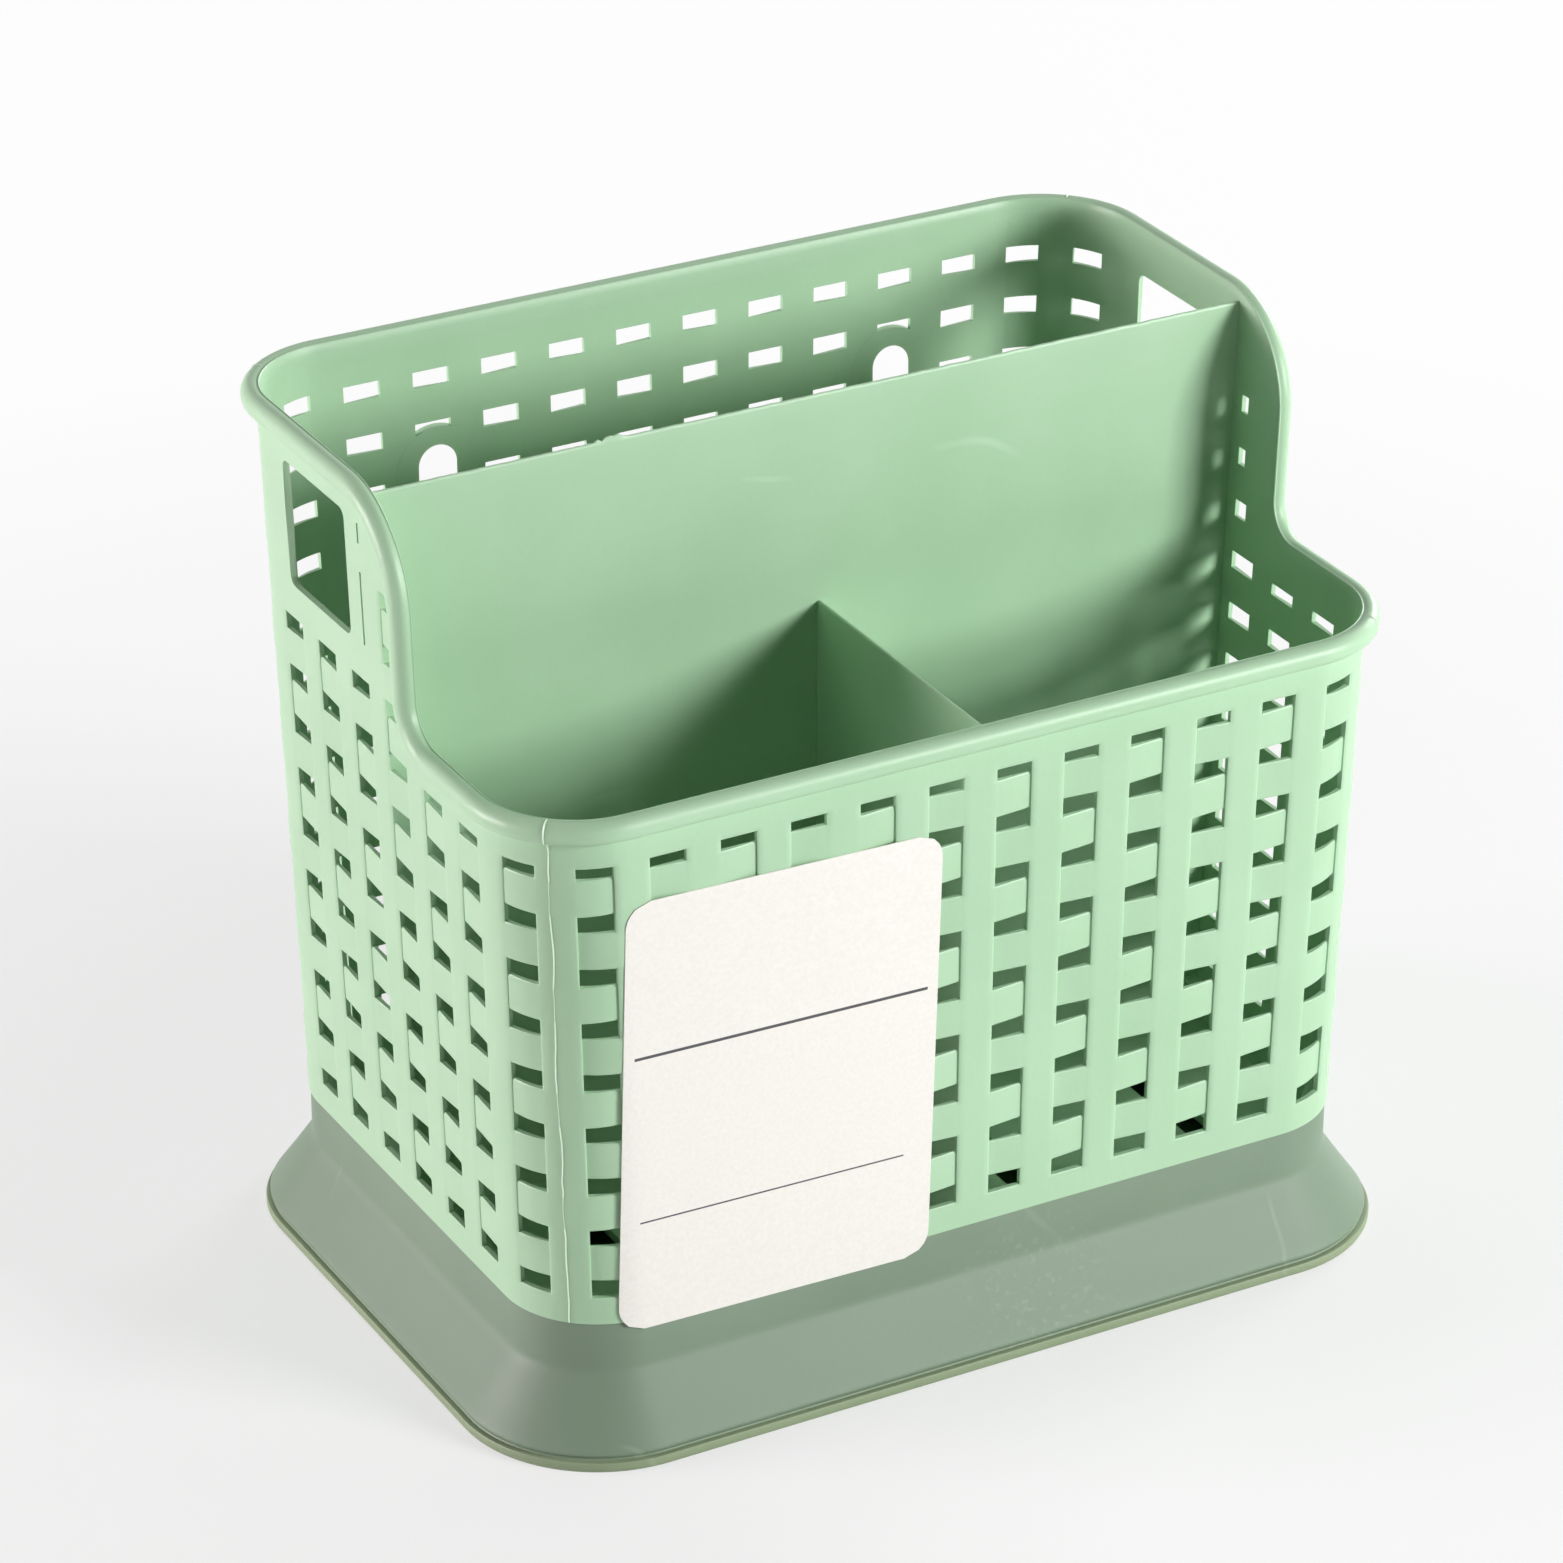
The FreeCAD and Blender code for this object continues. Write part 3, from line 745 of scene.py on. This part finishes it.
def arc_points(centre, radius, start_degrees, end_degrees, count):
    points = []
    for number in range(count + 1):
        angle = math.radians(start_degrees + (end_degrees - start_degrees) * number / count)
        points.append((centre[0] + radius * math.cos(angle), centre[1] + radius * math.sin(angle)))
    return points


def loft(stations, place):
    """A closed solid through outlines of as many points, each at its distance along one axis."""
    count = len(stations[0][0])
    vertices = [place(u, v, distance) for outline, distance in stations for u, v in outline]
    last = len(vertices) - count
    faces = [list(range(count))[::-1], [last + number for number in range(count)]]
    for start in range(0, last, count):
        for number in range(count):
            first, second = start + number, start + (number + 1) % count
            faces.append([first, second, second + count, first + count])
    return vertices, faces


def prism(outline, place, low, high):
    return loft(((outline, low), (outline, high)), place)


def join_parts(parts):
    vertices = []
    faces = []
    for part_vertices, part_faces in parts:
        start = len(vertices)
        vertices += part_vertices
        faces += [[start + number for number in face] for face in part_faces]
    return vertices, faces


def along_x(u, v, w):
    return (w, u, v)


def along_y(u, v, w):
    return (u, w, v)


def along_z(u, v, w):
    return (u, v, w)


def step_line():
    """The stepped edge of the side walls as (depth, height), from the low front to the high back."""
    low = RIM_FRONT - BEAD
    high = RIM_TOP - BEAD
    hollow_centre = (-STEP_SETBACK - STEP_HOLLOW, low + STEP_HOLLOW)
    round_centre = (-STEP_SETBACK + STEP_ROUND, high - STEP_ROUND)
    points = arc_points(hollow_centre, STEP_HOLLOW, -90, 0, STEP_HOLLOW_POINTS)
    return points + arc_points(round_centre, STEP_ROUND, 180, 90, STEP_ROUND_POINTS)


def arch_outline(across, top, foot, radius):
    """An upright arch with a round top."""
    points = [(across - radius, foot), (across + radius, foot)]
    return points + arc_points((across, top - radius), radius, 0, 180, ARCH_POINTS)


def flared_hole(side):
    """The outer edge of a hanging hole."""
    return arch_outline(
        side * HANGER_ACROSS, HANGER_TOP + HANGER_FLARE,
        HANGER_FOOT - HANGER_FLARE, HANGER_RADIUS + HANGER_FLARE,
    )


def handle_outline(back):
    """A finger opening as (depth, height), up to a given back edge."""
    outline = []
    for y, z, start in (
        (back - HANDLE_CORNER, HANDLE_HIGH - HANDLE_CORNER, 0),
        (HANDLE_FRONT + HANDLE_CORNER, HANDLE_HIGH - HANDLE_CORNER, 90),
        (HANDLE_FRONT + HANDLE_CORNER, HANDLE_LOW + HANDLE_CORNER, 180),
        (back - HANDLE_CORNER, HANDLE_LOW + HANDLE_CORNER, 270),
    ):
        outline += arc_points((y, z), HANDLE_CORNER, start, start + 90, CORNER_POINTS)
    return outline


def cut_walls(wall):
    """Trims the walls to the stepped rim and cuts the finger openings and hanging holes."""
    edge = step_line()
    above = RIM_TOP + CUT_ABOVE
    outline = [(-CUT_FRONT, edge[0][1])] + edge + [(edge[-1][0], above), (-CUT_FRONT, above)]
    parts = [prism(outline[::-1], along_x, -CUT_HALF_LENGTH, CUT_HALF_LENGTH)]
    for side in (-1, 1):
        face = side * half_length((HANDLE_LOW + HANDLE_HIGH) / 2)
        inside = handle_outline(HANDLE_BACK_INSIDE)
        outside = handle_outline(HANDLE_BACK)
        parts.append(loft((
            (inside, face - side * CUT_SIDE), (inside, face - side * WALL),
            (outside, face), (outside, face + side * CUT_SIDE),
        ), along_x))
        parts.append(prism(flared_hole(side), along_y, *CUT_BACK))
        front, back = GROOVE_PLACE - GROOVE_HALF, GROOVE_PLACE + GROOVE_HALF
        for low, high in GROOVE_SPANS:
            groove = [(front, low), (back, low), (back, high), (front, high)]
            outer_face = half_length((low + high) / 2)
            ends = sorted((side * (outer_face - GROOVE_DEPTH), side * (outer_face + CUT_GROOVE)))
            parts.append(prism(groove, along_x, *ends))
    cutter = mesh_object("cutter", *join_parts(parts), basket_plastic)
    modifier = wall.modifiers.new("cut", "BOOLEAN")
    modifier.operation = "DIFFERENCE"
    modifier.solver = "EXACT"
    modifier.object = cutter
    bpy.context.view_layer.update()
    graph = bpy.context.evaluated_depsgraph_get()
    cut = bpy.data.meshes.new_from_object(wall.evaluated_get(graph))
    wall.modifiers.remove(modifier)
    old = wall.data
    wall.data = cut
    bpy.data.meshes.remove(old)
    bpy.data.objects.remove(cutter)
    cut.polygons.foreach_set("use_smooth", [True] * len(cut.polygons))
    cut.set_sharp_from_angle(angle=math.radians(SHARP_DEGREES))


basket = mesh_object("woven_basket", *make_wall(), basket_plastic)
cut_walls(basket)


# Rim bead

RIM_FRONT_POINTS = 160
RIM_BACK_POINTS = 220
# Section of the bead: distances outward and away from the edge of the wall
BEAD_SECTION = (
    (-0.97, -2.3), (-0.97, 0.1), (-0.84, 0.8), (-0.66, 1.34), (-0.58, 1.5), (-0.48, 1.54), (-0.38, 1.46),
    (-0.26, 1.46), (0.0, 1.56), (0.3, 1.64), (0.7, 1.66), (1.1, 1.56), (1.5, 1.3), (1.88, 0.88), (2.12, 0.36),
    (2.2, -0.25), (2.1, -0.85), (1.85, -1.3), (1.4, -1.65), (0.95, -1.8), (0.35, -1.9), (-0.05, -2.0),
    (-0.5, -2.3),
)


def rim_path():
    """The bead's path round the basket: points and outward normals."""
    low = RIM_FRONT - BEAD
    high = RIM_TOP - BEAD
    edge = step_line()
    path = []

    def level_run(height, start, end, count):
        length, depth = half_length(height), half_depth(height)
        runs = np.linspace(start, end, count)
        px, py, pnx, pny = loop_point(runs, length, depth, CORNER)
        return [((px[k], py[k], height), (pnx[k], pny[k], 0.0)) for k in range(count)]

    quarter_low = quarter_run(low)
    quarter_high = quarter_run(high)
    front_reach = quarter_low + edge[0][0]
    back_start = quarter_high + edge[-1][0]
    path += level_run(low, -front_reach, front_reach, RIM_FRONT_POINTS)
    for y, z in edge[1:-1]:
        path.append(((half_length(z), y, z), (1.0, 0.0, 0.0)))
    path += level_run(high, back_start, 4 * quarter_high - back_start, RIM_BACK_POINTS)
    for y, z in edge[-2:0:-1]:
        path.append(((-half_length(z), y, z), (-1.0, 0.0, 0.0)))
    return path


def ring_faces(count, size):
    """Faces between sections of as many points that follow each other round a closed ring."""
    faces = []
    for number in range(count):
        first, second = number * size, (number + 1) % count * size
        for k in range(size):
            nk = (k + 1) % size
            faces.append([first + k, first + nk, second + nk, second + k])
    return faces


def sweep(path, section):
    """Carries a closed section along a closed path."""
    count = len(path)
    points = np.array([p for p, n in path])
    normals = np.array([n for p, n in path])
    vertices = []
    for number in range(count):
        tangent = points[(number + 1) % count] - points[number - 1]
        tangent /= np.linalg.norm(tangent)
        outward = normals[number] - tangent * np.dot(normals[number], tangent)
        outward /= np.linalg.norm(outward)
        away = np.cross(outward, tangent)
        for n, u in section:
            vertices.append(points[number] + outward * n + away * u)
    return vertices, ring_faces(count, len(section))


rim = mesh_object("rim_bead", *sweep(rim_path(), BEAD_SECTION), basket_plastic, sharp_degrees=60.0)


PARTING_DEGREES = 43.5
PARTING_HALF = 0.17
PARTING_PROUD = 0.13
PARTING_SUNK = 0.06
PARTING_WANDER = 0.12
PARTING_HOLD_SHARE = 0.8
PARTING_STEP = 1.6
PARTING_START = 0.1
PARTING_BELOW_BEAD = 1.9
PARTING_SECTION = ((-PARTING_HALF, -PARTING_SUNK), (0.0, PARTING_PROUD), (PARTING_HALF, -PARTING_SUNK))
# The part of the bead's section that the line crosses, from below to the top
PARTING_CROSSES = BEAD_SECTION[-3:7:-1]


def parting_lines():
    """The thin raised line that the mould leaves down each corner and over the bead."""
    wander = random.Random(11)
    parts = []
    angle = math.radians(PARTING_DEGREES)
    for side_x in (-1, 1):
        for side_y in (-1, 1):
            out = np.array((side_x * math.sin(angle), side_y * math.cos(angle), 0.0))
            across = np.array((-out[1], out[0], 0.0))
            bead_height = (RIM_FRONT if side_y < 0 else RIM_TOP) - BEAD
            stations = []
            shift = 0.0
            for height in np.arange(SEAT + PARTING_START, bead_height - PARTING_BELOW_BEAD, PARTING_STEP):
                shift = PARTING_HOLD_SHARE * shift + wander.uniform(-PARTING_WANDER, PARTING_WANDER)
                stations.append((height, 0.0, out, shift))
            for n, u in PARTING_CROSSES:
                facing = out * n + np.array((0.0, 0.0, u))
                stations.append((bead_height + u, n, facing / np.linalg.norm(facing), shift))
            vertices = []
            for height, n, facing, sideways in stations:
                middle = np.array((
                    side_x * (half_length(height) - CORNER), side_y * (half_depth(height) - CORNER), height,
                )) + out * (CORNER + n) + across * sideways
                for reach, proud in PARTING_SECTION:
                    point = middle + across * reach + facing * proud
                    point[2] = min(point[2], RIM_TOP)
                    vertices.append(point)
            faces = []
            for number in range(len(stations) - 1):
                first = number * 3
                for k in range(3):
                    nk = (k + 1) % 3
                    faces.append([first + k, first + nk, first + 3 + nk, first + 3 + k])
            faces.append([0, 2, 1])
            last = (len(stations) - 1) * 3
            faces.append([last, last + 1, last + 2])
            parts.append((vertices, faces))
    return join_parts(parts)


parting = mesh_object("parting_lines", *parting_lines(), flash_plastic, sharp_degrees=70.0)


# Divider, partition and floor

DIVIDER_TOP = 137.8
DIVIDER_ROWS = 30
DIVIDER_POINTS = 220
PARTITION_TOP = 104.4
PARTITION_ROWS = 20
PARTITION_POINTS = 20
PARTITION_START = 0.3
PANEL = 0.7
PANEL_FOOT = 16.5
PANEL_FOOT_INSET = 3.0
PANEL_NECK = 21.9
PANEL_START = 24.0
PANEL_MARGIN = 3.0
PANEL_EDGE_SHARES = (1.0, 0.86, 0.45)
PANEL_EDGE_DROPS = (0.42, 0.14, 0.0)
FRAYED_PLACE = -34.5
FRAYED_HALF = 2.6
FRAYED_LIFT = 0.8
PLAIN_LIFT = 0.08


def sheet_faces(up, across, is_slot=None):
    """Faces of a closed sheet between two grids of points, with any slots through it."""
    second = up * across

    def wall_faces(loop):
        return [[b, a, second + a, second + b] for a, b in zip(loop, loop[1:] + loop[:1])]

    faces = []
    for row in range(up - 1):
        for column in range(across - 1):
            start = row * across + column
            quad = [start, start + 1, start + across + 1, start + across]
            if is_slot and is_slot(row, column):
                faces += wall_faces(quad)
            else:
                faces.append(quad)
                faces.append([second + number for number in quad[::-1]])
    border = list(range(across)) + [row * across + across - 1 for row in range(1, up)]
    border += [(up - 1) * across + column for column in range(across - 2, -1, -1)]
    border += [row * across for row in range(up - 2, 0, -1)]
    return faces + wall_faces(border)


def plate(rows_of_points, thickness_axis, thickness):
    """A thin plate from a grid of points, offset both ways along one axis, with a rounded upper edge."""
    grid = np.array(rows_of_points)
    up, across = grid.shape[:2]
    shares = np.ones(up)
    shares[-len(PANEL_EDGE_SHARES):] = PANEL_EDGE_SHARES
    offset = np.array(thickness_axis) * thickness / 2 * shares[:, None, None]
    vertices = list((grid + offset).reshape(-1, 3)) + list((grid - offset).reshape(-1, 3))
    return vertices, sheet_faces(up, across)


def panel_heights(top, count):
    """Heights of a panel's rows of points, from its foot in the plug to its rounded edge."""
    heights = [PANEL_FOOT, PANEL_NECK, PLUG_TOP] + list(np.linspace(PANEL_START, top - PANEL_MARGIN, count))
    return heights + [top - drop for drop in PANEL_EDGE_DROPS]


def divider_plate():
    """The plain panel across the length, with a slightly ragged upper edge."""
    flash = random.Random(7)
    rows = []
    heights = panel_heights(DIVIDER_TOP, DIVIDER_ROWS)
    for height in heights:
        above = height > PANEL_NECK
        reach = half_length(height) - WALL / 2 if above else HALF_LENGTH - PANEL_FOOT_INSET
        row = []
        for share in np.linspace(-1, 1, DIVIDER_POINTS):
            lift = 0.0
            if height == heights[-1]:
                frayed = abs(share * reach - FRAYED_PLACE) < FRAYED_HALF
                lift = flash.uniform(0.0, FRAYED_LIFT if frayed else PLAIN_LIFT)
            row.append((share * reach, 0.0, height + lift))
        rows.append(row)
    return plate(rows, (0, 1, 0), PANEL)


def partition_plate():
    """The short panel from the divider to the front wall."""
    rows = []
    for height in panel_heights(PARTITION_TOP, PARTITION_ROWS):
        above = height > PANEL_NECK
        reach = half_depth(height) - WALL / 2 if above else HALF_DEPTH - PANEL_FOOT_INSET
        run = reach - PARTITION_START
        shares = np.linspace(0, 1, PARTITION_POINTS)
        rows.append([(0.0, -PARTITION_START - run * share, height) for share in shares])
    return plate(rows, (1, 0, 0), PANEL)


divider = mesh_object("divider_panel", *divider_plate(), panel_plastic)
partition = mesh_object("front_partition", *partition_plate(), panel_plastic)


def corner_runs(length, depth, corner, arc_count=26, flat_count=12):
    """Distances round a rounded rectangle, close together on its corners."""
    flat_x = length - corner
    flat_y = depth - corner
    arc = corner * math.pi / 2
    quarter = flat_x + arc + flat_y

    def one_quarter(flat):
        return np.concatenate([
            np.linspace(0, flat, flat_count, endpoint=False),
            np.linspace(flat, flat + arc, arc_count, endpoint=False),
            np.linspace(flat + arc, quarter, flat_count, endpoint=False),
        ])

    flats = (flat_x, flat_y, flat_x, flat_y)
    return np.concatenate([number * quarter + one_quarter(flat) for number, flat in enumerate(flats)])


def ring_sweep(profile, length, depth, corner):
    """Carries a closed profile of (inset, height) points round a rounded rectangle."""
    px, py, pnx, pny = loop_point(corner_runs(length, depth, corner), length, depth, corner)
    vertices = []
    for number in range(len(px)):
        for inset, height in profile:
            vertices.append((px[number] - pnx[number] * inset, py[number] - pny[number] * inset, height))
    return vertices, ring_faces(len(px), len(profile))


PLUG_PROFILE = (
    (0.7, 21.02), (2.2, 21.02), (2.2, 16.3), (2.4, 16.0), (3.6, 16.0), (3.6, 22.2), (3.4, PLUG_TOP),
    (0.7, PLUG_TOP),
)
plug = mesh_object("basket_plug", *ring_sweep(PLUG_PROFILE, HALF_LENGTH, HALF_DEPTH, CORNER), basket_plastic)

FLOOR_TOP = 17.5
FLOOR_UNDER = 16.0
FLOOR_HALF_LENGTH = 66.7
FLOOR_CORNER = 12.9
FLOOR_CORNER_X = 54.9
FLOOR_CORNER_Y = 32.4
FLOOR_DEPTHS = (-44.2, -42.6, -40.0, -35.5, -9.5, 9.5, 35.5, 40.0, 42.6, 44.2)
SLOT_ROWS = (3, 5)
SLOT_COLUMNS = 4
SLOT_PITCH = 32.0
SLOT_HALF = 2.5


def floor_reach(py):
    """Half the floor's length at a depth, drawn in round the plug's corners."""
    past = max(abs(py) - FLOOR_CORNER_Y, 0.0)
    return min(FLOOR_HALF_LENGTH, FLOOR_CORNER_X + math.sqrt(FLOOR_CORNER ** 2 - past ** 2))


def floor_plate():
    """The drained floor: a plate with slots, clipped to the plug's rounded corners."""
    lengths = [-FLOOR_HALF_LENGTH]
    for column in range(SLOT_COLUMNS):
        across = (column - (SLOT_COLUMNS - 1) / 2) * SLOT_PITCH
        lengths += [across - SLOT_HALF, across + SLOT_HALF]
    lengths.append(FLOOR_HALF_LENGTH)
    vertices = []
    for height in (FLOOR_UNDER, FLOOR_TOP):
        for px in lengths:
            for py in FLOOR_DEPTHS:
                clip_x = math.copysign(min(abs(px), floor_reach(py)), px)
                vertices.append((clip_x, py, height))

    def is_slot(row, column):
        return row % 2 == 1 and column in SLOT_ROWS

    return vertices, sheet_faces(len(lengths), len(FLOOR_DEPTHS), is_slot)


floor = mesh_object("basket_floor", *floor_plate(), basket_plastic)


def hanger_rings():
    """The raised rings round the hanging holes, which widen outward."""
    parts = []
    for side in (-1, 1):
        across = side * HANGER_ACROSS
        outline = arch_outline(
            across, HANGER_TOP + HANGER_TOP_BORDER, HANGER_FOOT - HANGER_BORDER, HANGER_RADIUS + HANGER_BORDER
        )
        hole = arch_outline(across, HANGER_TOP, HANGER_FOOT, HANGER_RADIUS)
        count = len(outline)
        vertices = []
        for inside, outside in ((outline, outline), (hole, flared_hole(side))):
            for u, v in inside:
                vertices.append((u, half_depth(v) - WALL - HANGER_SINK, v))
            for u, v in outside:
                vertices.append((u, half_depth(v) + HANGER_PROUD, v))
        faces = []
        for a in range(count):
            b = (a + 1) % count
            faces.append([a, b, count * 2 + b, count * 2 + a])
            faces.append([count + b, count + a, count * 3 + a, count * 3 + b])
            faces.append([b, a, count + a, count + b])
            faces.append([count * 2 + a, count * 2 + b, count * 3 + b, count * 3 + a])
        parts.append((vertices, faces))
    return join_parts(parts)


hangers = mesh_object("hanger_rings", *hanger_rings(), basket_plastic)


# Drip tray

TRAY_HALF_LENGTH = 69.9
TRAY_HALF_DEPTH = 47.4
TRAY_CORNER = 15.0
FLARE = (
    (0.0, 13.6), (0.05, 12.9), (0.28, 12.3), (0.8, 11.5), (1.75, 10.1), (3.1, 8.1), (4.45, 6.15), (5.7, 4.4),
    (6.6, 3.15), (6.88, 2.72), (6.9, 2.5), (6.72, 2.2), (6.55, 1.9),
)


TRAY_BEAD = (
    (-6.66, 1.66), (-7.0, 1.68), (-7.45, 1.6), (-7.6, 1.3), (-7.58, 0.5), (-7.35, 0.08), (-7.0, 0.0),
)
TRAY_UNDER = ((-5.4, 0.0), (-5.2, 0.3), (-4.6, 3.6), (-1.6, 8.0), (1.6, 12.2))
TRAY_NECK = ((1.6, 20.75), (1.35, SEAT), (0.3, SEAT), (0.06, 20.9), (0.0, 20.7))
TRAY_PROFILE = tuple((-out, height) for out, height in FLARE) + TRAY_BEAD + TRAY_UNDER + TRAY_NECK
# The dish's faces: height and inset
DISH_FACES = ((6.6, -2.6), (8.2, -1.5))
DISH_POINTS = 160

tray = mesh_object(
    "tray_skirt", *ring_sweep(TRAY_PROFILE, TRAY_HALF_LENGTH, TRAY_HALF_DEPTH, TRAY_CORNER),
    tray_plastic, sharp_degrees=50.0,
)


def dish_plate():
    """The dish: a rounded plate that closes the skirt."""
    stations = []
    for height, inset in DISH_FACES:
        half_x, half_y, radius = TRAY_HALF_LENGTH - inset, TRAY_HALF_DEPTH - inset, TRAY_CORNER - inset
        quarter = half_x + half_y - 2 * radius + radius * math.pi / 2
        runs = np.arange(DISH_POINTS) / DISH_POINTS * 4 * quarter
        px, py, pnx, pny = loop_point(runs, half_x, half_y, radius)
        stations.append((list(zip(px, py)), height))
    return loft(stations, along_z)


dish = mesh_object("tray_dish", *dish_plate(), tray_plastic)


# Label

def label_sheet():
    """A paper sheet with rounded corners that follows the front wall and lies over the joint."""
    half_w = LABEL_WIDTH / 2
    half_h = (LABEL_TOP - LABEL_FOOT) / 2
    centre = (LABEL_TOP + LABEL_FOOT) / 2
    turn = math.radians(LABEL_TURN)
    vertices = []
    for side in (0, 1):
        for row in range(LABEL_ROWS + 1):
            v = -half_h + 2 * half_h * row / LABEL_ROWS
            inset = 0.0
            near = half_h - abs(v)
            if near < LABEL_CORNER:
                past = LABEL_CORNER - near
                inset = LABEL_CORNER - math.sqrt(max(0.0, LABEL_CORNER ** 2 - past ** 2))
            for column in range(LABEL_COLUMNS + 1):
                u = (-1 + 2 * column / LABEL_COLUMNS) * (half_w - inset)
                px = LABEL_SHIFT + u * math.cos(turn) + v * math.sin(turn)
                pz = centre + v * math.cos(turn) - u * math.sin(turn)
                height = max(pz, SEAT)
                beyond = max(0.0, abs(px) - (half_length(height) - CORNER))
                bend = CORNER - math.sqrt(CORNER ** 2 - beyond ** 2)
                y = -half_depth(pz) + bend * LABEL_BEND_SHARE
                vertices.append((px, y - LABEL_GAP - side * LABEL_THICK, pz))
    return vertices, sheet_faces(LABEL_ROWS + 1, LABEL_COLUMNS + 1)


label = mesh_object("paper_label", *label_sheet(), label_paper, sharp_degrees=60.0)

for piece in (basket, rim, divider, partition, plug, floor, hangers, parting):
    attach(piece, "basket")
for piece in (tray, dish):
    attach(piece, "tray")
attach(label, "basket")
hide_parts("basket")
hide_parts("drip_tray")
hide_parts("label")
weight_normals(basket)


# Stage, light and camera, in metres

STAGE_REACH = 3.0
STAGE_COLOUR = (0.90, 0.90, 0.905, 1)
STAGE_ROUGHNESS = 0.7
STAGE_FADE = (0.12, 0.36)
STAGE_FADE_SHARES = (0.60, 0.95)
WHITE = (1, 1, 1, 1)
WORLD_FILL = 0.015
LAMP_DISTANCE = 1.2
LAMP_AIM = (0, 0, 0.07)
SENSOR = 36.0
LENS = 145.15
CAMERA_PLACE = (-0.41491, -0.74225, 0.50792)
CAMERA_DIRECTION = (0.42957, 0.78022, -0.45467)


def background_rays(nodes, links):
    """One for the rays that see the background: from the camera, reflected or through clear things."""
    path = nodes.new("ShaderNodeLightPath")
    seen = path.outputs["Is Camera Ray"]
    for kind in ("Is Glossy Ray", "Is Transmission Ray"):
        either = nodes.new("ShaderNodeMath")
        either.operation = "MAXIMUM"
        links.new(seen, either.inputs[0])
        links.new(path.outputs[kind], either.inputs[1])
        seen = either.outputs["Value"]
    return seen


def stage_floor():
    """A pale floor: it takes the object's shadow, and to the camera it pales towards white further out."""
    mesh = bpy.data.meshes.new("floor")
    corners = [(x * STAGE_REACH, y * STAGE_REACH, 0) for x, y in ((-1, -1), (1, -1), (1, 1), (-1, 1))]
    mesh.from_pydata(corners, [], [(0, 1, 2, 3)])
    obj = add_object("floor", mesh)
    material, nodes, links, shader = new_material("floor_white")
    set_inputs(shader, {"Base Color": STAGE_COLOUR, "Roughness": STAGE_ROUGHNESS})
    place = nodes.new("ShaderNodeTexCoord")
    distance = nodes.new("ShaderNodeVectorMath")
    distance.operation = "LENGTH"
    links.new(place.outputs["Object"], distance.inputs[0])
    fade = map_range(nodes, links, distance.outputs["Value"], STAGE_FADE, STAGE_FADE_SHARES)
    seen = product(nodes, links, background_rays(nodes, links), fade)
    white = nodes.new("ShaderNodeEmission")
    set_inputs(white, {"Color": WHITE, "Strength": 1.0})
    mix = nodes.new("ShaderNodeMixShader")
    links.new(seen, mix.inputs["Fac"])
    links.new(shader.outputs["BSDF"], mix.inputs[1])
    links.new(white.outputs["Emission"], mix.inputs[2])
    links.new(mix.outputs["Shader"], nodes["Material Output"].inputs["Surface"])
    mesh.materials.append(material)


stage_floor()


def soft_light(name, direction, width, level, tint=(1.0, 1.0, 1.0)):
    """A flat lamp whose level is the share of white that it gives a surface facing it."""
    light = bpy.data.lights.new(name, "AREA")
    light.shape = "RECTANGLE"
    light.size = width[0]
    light.size_y = width[1]
    light.energy = level * math.pi ** 2 * LAMP_DISTANCE ** 2
    light.color = tint
    obj = add_object(name, light)
    away = Vector(direction).normalized()
    obj.location = Vector(LAMP_AIM) + away * LAMP_DISTANCE
    obj.rotation_euler = (-away).to_track_quat("-Z", "Y").to_euler()


soft_light("key", direction=(0.56, -0.74, 0.30), width=(0.42, 0.34), level=1.00)
soft_light("left", direction=(-1.0, 0.40, 0.16), width=(0.6, 0.30), level=0.95, tint=(1.0, 0.91, 0.95))
soft_light("top", direction=(0.10, 0.38, 1.0), width=(0.7, 0.7), level=0.13)
soft_light("right_back", direction=(1.0, 0.45, 0.30), width=(0.5, 0.3), level=0.45)

world = bpy.data.worlds.new("studio")
bpy.context.scene.world = world
world.use_nodes = True
world_nodes = world.node_tree.nodes
world_links = world.node_tree.links
backdrop = world_nodes["Background"]
backdrop.inputs["Color"].default_value = WHITE
world_seen = background_rays(world_nodes, world_links)
world_level = map_range(world_nodes, world_links, world_seen, (0.0, 1.0), (WORLD_FILL, 1.0))
world_links.new(world_level, backdrop.inputs["Strength"])

camera_data = bpy.data.cameras.new("camera")
camera_data.sensor_width = SENSOR
camera_data.lens = LENS
camera = add_object("camera", camera_data)
camera.location = CAMERA_PLACE
camera.rotation_euler = Vector(CAMERA_DIRECTION).to_track_quat("-Z", "Y").to_euler()
bpy.context.scene.camera = camera
bpy.context.scene.view_settings.view_transform = "Standard"
